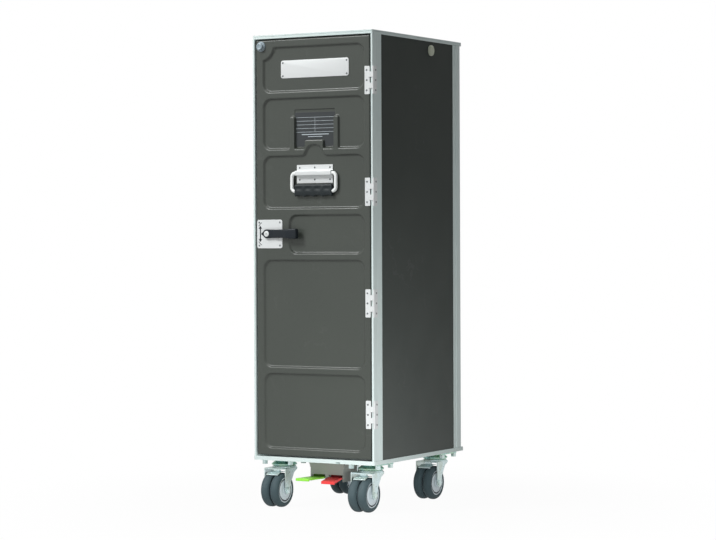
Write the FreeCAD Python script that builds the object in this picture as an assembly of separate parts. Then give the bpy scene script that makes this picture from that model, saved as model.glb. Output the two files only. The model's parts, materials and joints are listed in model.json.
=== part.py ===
"""Half-size airline galley cart, built as an assembly of separate pieces.

Frame: millimetres, +Z up, X across the door with the hinges at +X, the door faces -Y.
The origin lies on the floor, at the middle of the cart's overall footprint.
Every piece is written as one STEP file in parts/, named after the piece.
"""
import FreeCAD, Part
import math
import os

V = FreeCAD.Vector

# ---------------------------------------------------------------- driving dimensions
# body
body_width = 302.0
body_depth = 405.0
overall_height = 1030.0
front_reach = 14.0
rear_reach = 1.5

# rails, posts and walls
base_rail_height = 8.5
base_rail_overhang = 1.5
top_rail_height = 8.0
rail_groove = 0.7
drain_slot_x = 62.0
drain_slot_length = 11.0
drain_slot_height = 3.0
drain_slot_depth = 6.0
post_wall = 4.5
front_post_depth = 37.5
rear_post_depth = 42.0
rear_post_width = 30.0
rear_post_radius = 12.0
jamb_thickness = 3.0
jamb_width = 18.0
jamb_height = 22.0
jamb_edge_radius = 1.0
wall_thickness = 12.0
panel_recess = 1.0
liner_thickness = 1.2
floor_thickness = 14.0
top_thickness = 15.0
fit_gap = 0.2

# tray runners
runner_pitch = 62.0
runner_first_above_floor = 28.0
runner_headroom = 40.0
runner_width = 9.0
runner_height = 7.0

# door
door_side_gap = 8.0
door_end_gap = 3.5
door_setback = 1.0
door_thickness = 25.0
seal_thickness = 3.0
skin_thickness = 9.0
skin_edge_radius = 2.5
recess_depth = 5.0
recess_draft = 4.0
recess_free_margin = 16.5
recess_hinge_margin = 13.0
recess_radius = 20.0
seal_width = 9.0
seal_clearance = 0.3

# the recessed fields of the door: heights, the ribs between them and the end margins
# (the tall field takes up what is left of the door)
field_head_margin = 14.5
field_foot_margin = 13.6
rib_height = 11.0
top_field_height = 100.5
card_field_height = 113.6
handle_field_height = 117.2
latch_field_height = 86.5
low_field_height = 165.9
latch_field_from_edge = 81.5
stud_clear_radius = 29.0
finger_bump_half_width = 19.0
finger_bump_x = 3.5
finger_bump_height = 23.3

# door fittings
stud_inset = (13.5, 13.0)
stud_radius = 11.0
stud_height = 9.0
name_plate_x = (-81.4, 89.4)
name_plate_height = 38.5
name_plate_above_rib = 31.2
plate_thickness = 1.2
card_middle_x = 3.5
card_width = 102.0
card_height = 73.0
card_above_rib = 7.5
card_thickness = 0.7
holder_sheet = 0.6
pocket_depth = 2.0
pocket_gap = 0.5
pocket_above_rib = 4.0
pocket_height = 83.5
pocket_bar_outer = 62.5
pocket_bar_inner = 47.0
pocket_bar_height = 73.0
pocket_bar_draft = 2.0
pocket_lip = 2.5
pocket_lip_width = 50.0
pocket_lip_height = 22.0
rivet_radius = 2.2
rivet_height = 0.9

# latch
latch_from_edge = 30.1
latch_above_rib = 44.5
latch_plate_sides = (28.4, 36.5)
latch_plate_ends = (31.5, 30.7)
latch_plate_thickness = 1.5
lever_length = 79.0
lever_nose = 10.5
lever_height = 19.0
lever_end_height = 24.0
lever_thickness = 6.0
spindle_radius = 5.0
turning_clearance = 0.05
cam_length = 24.0
cam_width = 13.0
cam_thickness = 3.0
strike_thickness = 1.5
strike_side_gap = 0.3
strike_height = 56.0

# folding handle
handle_x = 3.6
handle_plate_width = 90.2
handle_plate_height = 40.0
handle_plate_above_rib = 55.5
handle_pivot_above_plate_foot = 22.0
handle_rod_radius = 3.75
sleeve_wall = 1.6
sleeve_gap = 0.05
bail_half_span = 55.2
bail_drop = 39.0
grip_half_length = 47.0
grip_height = 27.0
grip_thickness = 10.2
grip_gap = 0.3
grip_scallops = 4

# hinges
hinge_count = 4
hinge_from_door_end = 95.75
hinge_height = 60.0
hinge_leaf = 1.5
hinge_leaf_reach = 19.5
hinge_axis_beside = 2.0
hinge_axis_ahead = 1.3
hinge_barrel_radius = 2.2
hinge_pin_radius = 1.1
hinge_knuckles = 5
knuckle_gap = 0.3
side_leaf_depth = 15.0
screw_radius = 2.2

# hold-open disc on the side wall
disc_behind_front = 260.3
disc_below_top = 27.5
disc_radius = 12.0
disc_height = 4.0

# brake
housing_half_width = 41.5
housing_behind_front = 55.5
housing_depth = 60.0
housing_drop = 46.0
housing_wall = 2.0
housing_flare = 16.0
pedal_inner_x = 5.6
pedal_outer_x = 39.0
pedal_slot_drop = 31.0
pedal_thickness = 4.0
shaft_radius = 4.0
shaft_behind_front = 78.0
shaft_drop = 22.0
green_tip_ahead = 10.5
red_tip_behind = 22.0
green_tip_drop = 36.5
red_tip_drop = 44.0

# castors
castor_side_inset = 41.0
castor_end_inset = 57.5
wheel_radius = 37.5
wheel_width = 21.0
wheel_gap = 3.0
tyre_thickness = 9.5
tread_radius = 9.0
castor_trail = 30.0
hub_stand = 0.6
fork_side_gap = 2.2
fork_sheet = 2.6
fork_above_tyre = 10.0
fork_front = 39.0
fork_rear = 9.0
axle_radius = 4.0
king_pin_radius = 6.0
head_radius = 28.0
cup_top_radius = 20.0
race_radius = 26.5
race_gap = 0.3
fork_boss_radius = 9.5
guard_half_width = 15.0
guard_gap = 2.0
guard_sheet = 1.4
swivel_gap = 3.0
head_height = 16.0
head_plate = (80.0, 68.0)
head_plate_thickness = 3.0
castor_bolt_spacing = (66.0, 54.0)
castor_bolt_flats = 11.0
castor_bolt_height = 8.5

# ---------------------------------------------------------------- derived planes
fork_top_z = 2 * wheel_radius + fork_above_tyre
head_bottom_z = fork_top_z + swivel_gap
base_bottom_z = head_bottom_z + head_height
half_width = body_width / 2
front_y = -(body_depth + front_reach + rear_reach) / 2 + front_reach
rear_y = front_y + body_depth
middle_y = (front_y + rear_y) / 2
rail_top_z = base_bottom_z + base_rail_height
post_top_z = overall_height - top_rail_height
post_inner_x = half_width - post_wall
core_inner_x = half_width - wall_thickness
jamb_front_y = front_y + door_setback + door_thickness + seal_thickness
jamb_rear_y = jamb_front_y + jamb_thickness
jamb_inner_x = post_inner_x - jamb_width
rear_core_y = rear_y - wall_thickness
rail_front_inner_y = jamb_front_y + jamb_thickness / 2
floor_top_z = base_bottom_z + floor_thickness
drain_slot_z = base_bottom_z + 2.2
ceiling_z = overall_height - 3.0 - top_thickness
liner_inner_x = core_inner_x - liner_thickness
strike_width = liner_inner_x - jamb_inner_x - strike_side_gap
runner_first_z = floor_top_z + runner_first_above_floor
runner_count = 1 + int((ceiling_z - runner_headroom - runner_first_z) // runner_pitch)
door_face_y = front_y + door_setback
door_back_y = door_face_y + door_thickness
skin_back_y = door_face_y + skin_thickness
field_floor_y = door_face_y + recess_depth
door_half_width = half_width - door_side_gap
door_bottom_z = rail_top_z + door_end_gap
door_top_z = post_top_z - door_end_gap
recess_left_x = recess_free_margin - door_half_width
recess_right_x = door_half_width - recess_hinge_margin
field_latch_left_x = latch_field_from_edge - door_half_width
field_top_z1 = door_top_z - field_head_margin
field_top = (field_top_z1 - top_field_height, field_top_z1)
field_card_z1 = field_top[0] - rib_height
field_card = (field_card_z1 - card_field_height, field_card_z1)
field_handle_z1 = field_card[0] - rib_height
field_handle = (field_handle_z1 - handle_field_height, field_handle_z1)
field_latch_z1 = field_handle[0] - rib_height
field_latch = (field_latch_z1 - latch_field_height, field_latch_z1)
field_low_z0 = door_bottom_z + field_foot_margin
field_low = (field_low_z0, field_low_z0 + low_field_height)
field_tall = (field_low[1] + rib_height, field_latch[0] - rib_height)
finger_bump_top_z = field_handle[1] + finger_bump_height
stud_x = stud_inset[0] - door_half_width
stud_z = door_top_z - stud_inset[1]
name_plate_z0 = field_top[0] + name_plate_above_rib
name_plate_z = (name_plate_z0, name_plate_z0 + name_plate_height)
card_z0 = field_card[0] + card_above_rib
card_z = (card_z0, card_z0 + card_height)
card_x = (card_middle_x - card_width / 2, card_middle_x + card_width / 2)
pocket_x = (card_x[0] - pocket_gap, card_x[1] + pocket_gap)
pocket_z = (field_card[0] + pocket_above_rib, field_card[0] + pocket_above_rib + pocket_height)
pocket_floor_y = field_floor_y + pocket_depth
latch_x = latch_from_edge - door_half_width
latch_z = field_latch[0] + latch_above_rib
latch_plate_x = (latch_x - latch_plate_sides[0], latch_x + latch_plate_sides[1])
latch_plate_z = (latch_z - latch_plate_ends[0], latch_z + latch_plate_ends[1])
handle_plate_z0 = field_handle[0] + handle_plate_above_rib
handle_plate_z = (handle_plate_z0, handle_plate_z0 + handle_plate_height)
handle_pivot_z = handle_plate_z0 + handle_pivot_above_plate_foot
sleeve_radius = handle_rod_radius + sleeve_wall
rod_y = field_floor_y - sleeve_radius - sleeve_gap
hinge_low_z = door_bottom_z + hinge_from_door_end
hinge_pitch = (door_top_z - hinge_from_door_end - hinge_low_z) / (hinge_count - 1)
hinge_centres_z = [hinge_low_z + index * hinge_pitch for index in range(hinge_count)]
hinge_leaf_left_x = half_width - hinge_leaf_reach
disc_z = overall_height - disc_below_top
housing_bottom_z = base_bottom_z - housing_drop
pedal_slot_top_z = base_bottom_z - pedal_slot_drop
shaft_z = base_bottom_z - shaft_drop
green_tip_z = base_bottom_z - green_tip_drop
red_tip_z = base_bottom_z - red_tip_drop
castor_x = half_width - castor_side_inset
castor_y = body_depth / 2 - castor_end_inset
fork_half_width = wheel_gap / 2 + wheel_width + hub_stand + fork_side_gap + fork_sheet
hinge_axis_x = half_width + hinge_axis_beside
hinge_axis_y = front_y - hinge_axis_ahead
shaft_y = front_y + shaft_behind_front
axle_z = wheel_radius


# ---------------------------------------------------------------- helpers
def box(x0, x1, y0, y1, z0, z1):
    """Box between two opposite corners."""
    return Part.makeBox(x1 - x0, y1 - y0, z1 - z0, V(x0, y0, z0))


def rod(start, axis, radius, length):
    """Round bar from a start point along an axis."""
    return Part.makeCylinder(radius, length, start, axis)


def prism(points, along):
    """Straight prism over a flat outline of points."""
    face = Part.Face(Part.makePolygon(points + [points[0]]))
    return face.extrude(along)


def prism_xz(outline, y0, y1):
    """Prism over an (x, z) outline, between two Y planes."""
    return prism([V(x, y0, z) for x, z in outline], V(0, y1 - y0, 0))


def prism_yz(outline, x0, x1):
    """Prism over a (y, z) outline, between two X planes."""
    return prism([V(x0, y, z) for y, z in outline], V(x1 - x0, 0, 0))


def revolve(profile, centre, axis, across):
    """Turned piece from (distance along axis, radius) points about an axis through centre."""
    points = [centre + axis * a + across * r for a, r in profile]
    face = Part.Face(Part.makePolygon(points + [points[0]]))
    return face.revolve(centre, axis, 360)


def mirrored(shape):
    """The same piece on the other side of the cart."""
    return shape.mirror(V(0, 0, 0), V(1, 0, 0))


def edges_along(shape, direction):
    """Straight edges of a shape that run along a direction."""
    found = []
    for edge in shape.Edges:
        if edge.Curve.TypeId != "Part::GeomLine":
            continue
        if abs(edge.tangentAt(edge.FirstParameter).dot(direction)) > 0.999:
            found.append(edge)
    return found


def rounded_box(x0, x1, y0, y1, z0, z1, radius, direction):
    """Box with the four edges along a direction rounded."""
    plain = box(x0, x1, y0, y1, z0, z1)
    return plain.makeFillet(radius, edges_along(plain, direction))


def outline_wire(corners, y, inset=0.0):
    """Closed wire in an XZ plane through (x, z, radius) corners, listed anticlockwise.

    The inset moves every side inwards and keeps the arcs concentric.
    """
    count = len(corners)
    flat = [V(x, 0, z) for x, z, r in corners]
    sides = [(flat[(i + 1) % count] - flat[i]).normalize() for i in range(count)]
    moved = []
    for i in range(count):
        before = sides[i - 1]
        after = sides[i]
        inward_before = V(-before.z, 0, before.x)
        inward_after = V(-after.z, 0, after.x)
        shift = (inward_before + inward_after) * (inset / (1 + inward_before.dot(inward_after)))
        turn = before.x * after.z - before.z * after.x
        radius = corners[i][2] - inset * (1 if turn > 0 else -1)
        half_turn = before.getAngle(after) / 2
        moved.append((flat[i] + shift, before, after, radius * math.tan(half_turn), radius, half_turn))
    edges = []
    for i in range(count):
        point, before, after, reach, radius, half_turn = moved[i]
        start = point - before * reach
        end = point + after * reach
        to_middle = (after - before).normalize() * (radius / math.cos(half_turn) - radius)
        edges.append(Part.Arc(start, point + to_middle, end).toShape())
        following = moved[(i + 1) % count]
        edges.append(Part.LineSegment(end, following[0] - following[1] * following[3]).toShape())
    wire = Part.Wire(edges)
    wire.translate(V(0, y, 0))
    return wire


def recess(corners):
    """Cutter for one recessed field with sloping sides, from ahead of the face to its floor."""
    slope = recess_draft / recess_depth
    mouth = outline_wire(corners, door_face_y - 1.0, -slope)
    floor = outline_wire(corners, field_floor_y, recess_draft)
    return Part.makeLoft([mouth, floor], True, True)


def island(left, right, bottom, top, radius):
    """Raised place inside a field: at its floor the outline given, at the face smaller by the draft."""
    corners = rectangle_corners(left, right, bottom, top, radius)
    slope = pocket_bar_draft / recess_depth
    crest = outline_wire(corners, door_face_y - 2.0, pocket_bar_draft + 2.0 * slope)
    foot = outline_wire(corners, field_floor_y, 0.0)
    return Part.makeLoft([crest, foot], True, True)


def hexagon_bolt(centre, flats, height):
    """Hexagonal bolt head that hangs below a point."""
    radius = flats / math.sqrt(3)
    points = []
    for i in range(6):
        angle = math.radians(60 * i)
        points.append(centre + V(radius * math.cos(angle), radius * math.sin(angle), 0))
    return prism(points, V(0, 0, -height))


def dome(centre, outward, radius, height):
    """Low round rivet or screw head standing on a face."""
    across = V(0, 0, 1)
    profile = [(0, 0), (0, radius), (height * 0.55, radius * 0.8), (height, radius * 0.35), (height, 0)]
    return revolve(profile, centre, outward, across)


def save(name, solids):
    """Write one named piece; a group of like pieces stays separate solids."""
    parts = []
    for shape in solids:
        parts.extend(shape.removeSplitter().Solids)
    Part.makeCompound(parts).exportStep("parts/" + name + ".step")


# ---------------------------------------------------------------- frame
def corner_posts_front():
    """Grooved front corner profiles, and the jamb strips that the door shuts against."""
    web = box(post_inner_x, half_width, front_y, front_y + front_post_depth, rail_top_z, post_top_z)
    corner = [e for e in edges_along(web, V(0, 0, 1)) if e.Vertexes[0].Y < front_y + 1]
    outer = [e for e in corner if e.Vertexes[0].X > half_width - 1]
    web = web.makeFillet(1.4, outer)
    for step in range(4):
        groove_y = front_y + 17.0 + step * 5.0
        web = web.cut(box(half_width - 0.5, half_width + 1, groove_y, groove_y + 1.2,
                          rail_top_z, post_top_z))
    jamb = box(jamb_inner_x, post_inner_x, jamb_front_y, jamb_rear_y, rail_top_z, post_top_z)
    free_edge = [e for e in edges_along(jamb, V(0, 0, 1)) if e.Vertexes[0].X < jamb_inner_x + 0.1]
    jamb = jamb.makeFillet(jamb_edge_radius, free_edge)
    return [web, mirrored(web), jamb, mirrored(jamb)]


def corner_posts_rear():
    """Rounded rear corner profiles with one wide groove along the side."""
    outer = box(half_width - rear_post_width, half_width, rear_y - rear_post_depth, rear_y,
                rail_top_z, post_top_z)
    outer_edge = [e for e in edges_along(outer, V(0, 0, 1))
                  if e.Vertexes[0].Y > rear_y - 1 and e.Vertexes[0].X > half_width - 1]
    outer = outer.makeFillet(rear_post_radius, outer_edge)
    inner = box(half_width - rear_post_width - 1, post_inner_x, rear_y - rear_post_depth - 1,
                rear_y - post_wall, rail_top_z, post_top_z)
    inner_edge = [e for e in edges_along(inner, V(0, 0, 1))
                  if e.Vertexes[0].Y > rear_y - post_wall - 1 and e.Vertexes[0].X > post_inner_x - 1]
    inner = inner.makeFillet(wall_thickness - post_wall, inner_edge)
    groove_y = rear_y - rear_post_depth + 8.6
    groove = box(half_width - 1.4, half_width + 1, groove_y, groove_y + 5.0, rail_top_z, post_top_z)
    post = outer.cut(inner).cut(groove)
    return [post, mirrored(post)]


def rail_bars(overhang, z0, z1):
    """Four mitred bars of a rail frame around the body."""
    out_x = half_width + overhang
    out_front = front_y - overhang
    out_rear = rear_y + overhang
    in_rear = rear_y - wall_thickness - 1.5
    outer = [V(-out_x, out_front, z0), V(out_x, out_front, z0), V(out_x, out_rear, z0), V(-out_x, out_rear, z0)]
    inner = [V(-core_inner_x, rail_front_inner_y, z0), V(core_inner_x, rail_front_inner_y, z0),
             V(core_inner_x, in_rear, z0), V(-core_inner_x, in_rear, z0)]
    bars = []
    for i in range(4):
        j = (i + 1) % 4
        bars.append(prism([outer[i], outer[j], inner[j], inner[i]], V(0, 0, z1 - z0)))
    shell = rounded_box(-out_x, out_x, out_front, out_rear, z0, z1, 3.0 + overhang, V(0, 0, 1))
    return [bar.common(shell) for bar in bars]


def top_rail():
    """Rail frame around the top, with a fine groove around its outside."""
    groove_z = overall_height - 3.4
    keep = box(-half_width + rail_groove, half_width - rail_groove, front_y + rail_groove,
               rear_y - rail_groove, groove_z, groove_z + rail_groove)
    around = box(-half_width - 1, half_width + 1, front_y - 1, rear_y + 1, groove_z, groove_z + rail_groove)
    groove = around.cut(keep)
    return [bar.cut(groove) for bar in rail_bars(0.0, post_top_z, overall_height)]


def base_rail():
    """Bumper rail frame around the foot of the body, with a drain slot in the front bar."""
    half = drain_slot_length / 2 - drain_slot_height / 2
    outer_y = front_y - base_rail_overhang - 1.0
    along = V(0, drain_slot_depth + 1.0, 0)
    slot = box(drain_slot_x - half, drain_slot_x + half, outer_y, outer_y + along.y,
               drain_slot_z - drain_slot_height / 2, drain_slot_z + drain_slot_height / 2)
    ends = [rod(V(drain_slot_x + side * half, outer_y, drain_slot_z), V(0, 1, 0), drain_slot_height / 2, along.y)
            for side in (-1, 1)]
    bars = rail_bars(base_rail_overhang, base_bottom_z, rail_top_z)
    return [bar.cut(slot.fuse(ends)) for bar in bars]


def side_panel_right():
    """Insulated side wall: a core behind the posts and an outer face between them."""
    core = box(core_inner_x, post_inner_x, jamb_rear_y, rear_core_y, rail_top_z, post_top_z)
    face = box(post_inner_x, half_width - panel_recess, front_y + front_post_depth,
               rear_y - rear_post_depth, rail_top_z, post_top_z)
    return core.fuse(face)


def rear_panel():
    """Insulated rear wall, built like the side walls."""
    core = box(-core_inner_x, core_inner_x, rear_core_y, rear_y - post_wall, rail_top_z, post_top_z)
    face_x = half_width - rear_post_width
    face = box(-face_x, face_x, rear_y - post_wall, rear_y - panel_recess, rail_top_z, post_top_z)
    return core.fuse(face)


def top_panel():
    """Roof slab with a shallow worktop recess and the header jamb over the door."""
    rear = rear_core_y
    slab = box(-core_inner_x, core_inner_x, jamb_rear_y, rear, ceiling_z, post_top_z)
    worktop = box(-core_inner_x + fit_gap, core_inner_x - fit_gap, rail_front_inner_y + fit_gap,
                  rear_y - wall_thickness - 1.5 - fit_gap, post_top_z, overall_height - 2.0)
    hollow = rounded_box(-core_inner_x + 6, core_inner_x - 6, rail_front_inner_y + 6, rear - 8,
                         overall_height - 3.5, overall_height, 14.0, V(0, 0, 1))
    header = box(-jamb_inner_x, jamb_inner_x, jamb_front_y, jamb_rear_y, post_top_z - jamb_height, post_top_z)
    return slab.fuse([worktop, header]).cut(hollow)


def floor_plate():
    """Floor slab inside the base rail, with the sill that the door shuts against."""
    lower = box(-core_inner_x + fit_gap, core_inner_x - fit_gap, rail_front_inner_y + fit_gap,
                rear_y - wall_thickness - 1.5 - fit_gap, base_bottom_z, rail_top_z)
    upper = box(-core_inner_x, core_inner_x, jamb_rear_y, rear_core_y, rail_top_z, floor_top_z)
    sill = box(-jamb_inner_x, jamb_inner_x, jamb_front_y, jamb_rear_y, rail_top_z, rail_top_z + jamb_height)
    return lower.fuse([upper, sill])


def inner_walls():
    """Sheet lining of the compartment: right, left and rear."""
    inner_x = liner_inner_x
    right = box(inner_x, core_inner_x, jamb_rear_y, rear_core_y, floor_top_z, ceiling_z)
    rear = box(-inner_x, inner_x, rear_core_y - liner_thickness, rear_core_y, floor_top_z, ceiling_z)
    return [right, mirrored(right), rear]


def tray_runners():
    """Ledges that carry the trays, in pairs up both inner walls."""
    wall_x = liner_inner_x
    tip_x = wall_x - runner_width
    y0 = jamb_rear_y + 10.0
    y1 = rear_core_y - liner_thickness - 4.0
    runners = []
    for level in range(runner_count):
        top = runner_first_z + level * runner_pitch
        outline = [(wall_x, top), (tip_x + 1.0, top), (tip_x, top - 1.0), (tip_x, top - 2.5),
                   (wall_x - 3.0, top - 3.5), (wall_x, top - runner_height)]
        runner = prism_xz(outline, y0, y1)
        runners.extend([runner, mirrored(runner)])
    return runners


def latch_strike():
    """Wear plate behind the left jamb that the latch cam turns onto."""
    x0 = -jamb_inner_x - strike_width
    plate = box(x0, -jamb_inner_x, jamb_rear_y, jamb_rear_y + strike_thickness,
                latch_z - strike_height / 2, latch_z + strike_height / 2)
    lead_in = [e for e in edges_along(plate, V(1, 0, 0)) if e.Vertexes[0].Y > jamb_rear_y + 0.1]
    return plate.makeChamfer(1.0, lead_in)


def hold_open_disc():
    """Round disc near the top of the right side wall."""
    start = half_width - panel_recess
    profile = [(0, 0), (0, disc_radius), (disc_height - 1.0, disc_radius), (disc_height, disc_radius - 1.0),
               (disc_height, 0)]
    return revolve(profile, V(start, front_y + disc_behind_front, disc_z), V(1, 0, 0), V(0, 0, 1))


# ---------------------------------------------------------------- hinges
def knuckle_span(index, z_centre):
    """Bottom and top of one knuckle of a hinge."""
    pitch = hinge_height / hinge_knuckles
    low = z_centre - hinge_height / 2 + index * pitch
    return low + knuckle_gap / 2, low + pitch - knuckle_gap / 2


def knuckle(index, z_centre):
    """Rolled barrel of one knuckle."""
    low, high = knuckle_span(index, z_centre)
    return rod(V(hinge_axis_x, hinge_axis_y, low), V(0, 0, 1), hinge_barrel_radius, high - low)


def post_leaf(z_centre):
    """Leaf on the side face of the corner post, with its knuckles and the staked pin."""
    z0 = z_centre - hinge_height / 2
    z1 = z_centre + hinge_height / 2
    clear_y = hinge_axis_y + hinge_barrel_radius + knuckle_gap
    leaf = box(half_width, half_width + hinge_leaf, clear_y, front_y + side_leaf_depth, z0, z1)
    pieces = [rod(V(hinge_axis_x, hinge_axis_y, z0), V(0, 0, 1), hinge_pin_radius, hinge_height)]
    for index in range(0, hinge_knuckles, 2):
        low, high = knuckle_span(index, z_centre)
        pieces.append(knuckle(index, z_centre))
        pieces.append(box(half_width, half_width + hinge_leaf, hinge_axis_y, clear_y + 0.5, low, high))
    return leaf.fuse(pieces)


def door_leaf(z_centre):
    """Leaf on the door face, cranked over the post to its two knuckles on the pin."""
    z0 = z_centre - hinge_height / 2
    z1 = z_centre + hinge_height / 2
    leaf = rounded_box(hinge_leaf_left_x, door_half_width + 1.0, door_face_y - hinge_leaf, door_face_y,
                       z0, z1, 2.0, V(0, 1, 0))
    bridge_y = front_y - 0.3
    pieces = []
    for index in range(1, hinge_knuckles, 2):
        low, high = knuckle_span(index, z_centre)
        pieces.append(knuckle(index, z_centre))
        pieces.append(box(door_half_width - 2.0, hinge_axis_x, bridge_y - hinge_leaf, bridge_y, low, high))
    bore = rod(V(hinge_axis_x, hinge_axis_y, z0 - 1), V(0, 0, 1), hinge_pin_radius + turning_clearance,
               hinge_height + 2)
    return leaf.fuse(pieces).cut(bore)


def hinge_screw_heights(z_centre):
    """Heights of the three screws of one leaf."""
    return [z_centre + step * 0.36 * hinge_height for step in (-1, 0, 1)]


# ---------------------------------------------------------------- door
def rectangle_corners(left, right, bottom, top, radius):
    """Corners of a plain rounded field, anticlockwise."""
    return [(left, bottom, radius), (right, bottom, radius), (right, top, radius), (left, top, radius)]


def recessed_fields():
    """Cutters of the six recessed fields of the door skin."""
    left = recess_left_x
    right = recess_right_x
    r = recess_radius
    stud = V(stud_x, door_face_y - 1.0, stud_z)
    slope = recess_draft / recess_depth
    stud_land = Part.makeCone(stud_clear_radius - slope, stud_clear_radius + recess_draft, recess_depth + 1.0,
                              stud, V(0, 1, 0))
    top_field = recess(rectangle_corners(left, right, *field_top, r)).cut(stud_land)
    bump_left = finger_bump_x - finger_bump_half_width
    bump_right = finger_bump_x + finger_bump_half_width
    handle_field = [(left, field_handle[0], r), (right, field_handle[0], r), (right, field_handle[1], r),
                    (bump_right + 8.0, field_handle[1], 6.0), (bump_right - 4.0, finger_bump_top_z, 10.0),
                    (bump_left + 4.0, finger_bump_top_z, 10.0), (bump_left - 8.0, field_handle[1], 6.0),
                    (left, field_handle[1], r)]
    outlines = [handle_field,
                rectangle_corners(field_latch_left_x, right, *field_latch, r),
                rectangle_corners(left, right, *field_tall, r),
                rectangle_corners(left, right, *field_low, r)]
    return [top_field, card_field()] + [recess(corners) for corners in outlines]


def card_field():
    """Cutter of the card's field: the bars and the lip of the card pocket stay, and the pocket is deeper."""
    field = recess(rectangle_corners(recess_left_x, recess_right_x, *field_card, recess_radius))
    foot = field_card[0] - rib_height
    bar_top = field_card[0] + pocket_bar_height
    for side in (-1, 1):
        bar_x = sorted((card_middle_x + side * pocket_bar_inner, card_middle_x + side * pocket_bar_outer))
        field = field.cut(island(*bar_x, foot, bar_top, 5.0))
    lip_x = (card_middle_x - pocket_lip_width / 2, card_middle_x + pocket_lip_width / 2)
    field = field.cut(island(*lip_x, foot, field_card[0] + pocket_lip_height, 4.0))
    slot = box(card_middle_x - pocket_bar_inner, card_middle_x + pocket_bar_inner, door_face_y + pocket_lip,
               field_floor_y, pocket_z[0], field_card[0] + pocket_lip_height + 1.0)
    pocket = rounded_box(*pocket_x, field_floor_y - 0.01, pocket_floor_y, *pocket_z, 3.0, V(0, 1, 0))
    return field.fuse([slot, pocket])


def spindle_bore(radius):
    """Through hole for the latch spindle."""
    return rod(V(latch_x, front_y - 30, latch_z), V(0, 1, 0), radius, door_thickness + 60)


def door_skin():
    """Formed outer skin of the door with its recessed fields."""
    skin = box(-door_half_width, door_half_width, door_face_y, skin_back_y, door_bottom_z, door_top_z)
    skin = skin.makeFillet(skin_edge_radius, [e for e in skin.Edges
                                              if all(v.Y < door_face_y + 0.1 for v in e.Vertexes)])
    skin = skin.cut(recessed_fields())
    return skin.cut(spindle_bore(spindle_radius + turning_clearance))


def door_liner():
    """Insulated inner half of the door."""
    liner = box(-door_half_width, door_half_width, skin_back_y, door_back_y, door_bottom_z, door_top_z)
    rear_edges = [e for e in liner.Edges if all(v.Y > door_back_y - 0.1 for v in e.Vertexes)]
    liner = liner.makeChamfer(2.0, rear_edges)
    return liner.cut(spindle_bore(spindle_radius + turning_clearance))


def door_seal():
    """Four mitred sealing strips on the back of the door."""
    out_x = door_half_width - 3.0
    out_z0 = door_bottom_z + 3.0
    out_z1 = door_top_z - 3.0
    y0 = door_back_y
    along = V(0, jamb_front_y - seal_clearance - y0, 0)
    outer = [V(-out_x, y0, out_z0), V(out_x, y0, out_z0), V(out_x, y0, out_z1), V(-out_x, y0, out_z1)]
    in_x = out_x - seal_width
    in_z0 = out_z0 + seal_width
    in_z1 = out_z1 - seal_width
    inner = [V(-in_x, y0, in_z0), V(in_x, y0, in_z0), V(in_x, y0, in_z1), V(-in_x, y0, in_z1)]
    strips = []
    for i in range(4):
        j = (i + 1) % 4
        strips.append(prism([outer[i], outer[j], inner[j], inner[i]], along))
    return strips


def door_stud():
    """Round stud at the free upper corner of the door."""
    profile = [(0, 0), (0, stud_radius), (stud_height - 2.0, stud_radius), (stud_height - 0.6, stud_radius - 1.2),
               (stud_height, stud_radius - 3.0), (stud_height, 0)]
    return revolve(profile, V(stud_x, door_face_y, stud_z), V(0, -1, 0), V(0, 0, 1))


def name_plate():
    """Bare plate in the top field."""
    return rounded_box(*name_plate_x, field_floor_y - plate_thickness, field_floor_y, *name_plate_z,
                       5.0, V(0, 1, 0))


def card_holder():
    """Sheet tray in the card pocket, with a turned-up foot that the card stands on."""
    back_y = pocket_floor_y - holder_sheet
    back = box(card_x[0], card_x[1], back_y, pocket_floor_y, card_z[0] - holder_sheet, card_z[1] + holder_sheet)
    foot = box(card_x[0], card_x[1], back_y - card_thickness, back_y, card_z[0] - holder_sheet, card_z[0])
    return back.fuse(foot)


def card():
    """Blank card in the pocket."""
    back_y = pocket_floor_y - holder_sheet
    return box(*card_x, back_y - card_thickness, back_y, card_z[0], card_z[1])


# ---------------------------------------------------------------- latch
def latch_plate():
    """Backing plate of the latch lever."""
    plate = rounded_box(*latch_plate_x, door_face_y - latch_plate_thickness, door_face_y,
                        *latch_plate_z, 5.0, V(0, 1, 0))
    return plate.cut(spindle_bore(spindle_radius + 1.0))


def latch_lever():
    """Lever with a pointed nose and a raised grip end."""
    back_y = door_face_y - latch_plate_thickness - 0.5
    half = lever_height / 2
    end_half = lever_end_height / 2
    tip_x = latch_x + lever_length
    outline = [(latch_x - lever_nose, latch_z), (latch_x - 2.0, latch_z - half), (latch_x + 14.0, latch_z - half + 1.5),
               (latch_x + 34.0, latch_z - half + 2.5), (tip_x - 17.0, latch_z - end_half),
               (tip_x - 4.0, latch_z - end_half), (tip_x, latch_z - end_half + 4.0),
               (tip_x, latch_z + end_half - 4.0), (tip_x - 4.0, latch_z + end_half),
               (tip_x - 17.0, latch_z + end_half), (latch_x + 34.0, latch_z + half - 2.5),
               (latch_x + 14.0, latch_z + half - 1.5), (latch_x - 2.0, latch_z + half)]
    plan = prism_xz(outline, back_y - front_reach, back_y)
    reach = front_y - front_reach
    side = [(latch_x - lever_nose - 1, back_y), (latch_x - lever_nose - 1, back_y - lever_thickness),
            (latch_x + 16.0, back_y - lever_thickness), (tip_x - 26.0, reach), (tip_x + 1, reach),
            (tip_x + 1, reach + 5.0), (tip_x - 24.0, reach + 5.0), (latch_x + 22.0, back_y)]
    z0 = latch_z - lever_end_height
    profile = prism([V(x, y, z0) for x, y in side], V(0, 0, 2 * lever_end_height))
    return plan.common(profile).cut(spindle_bore(spindle_radius))


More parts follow.
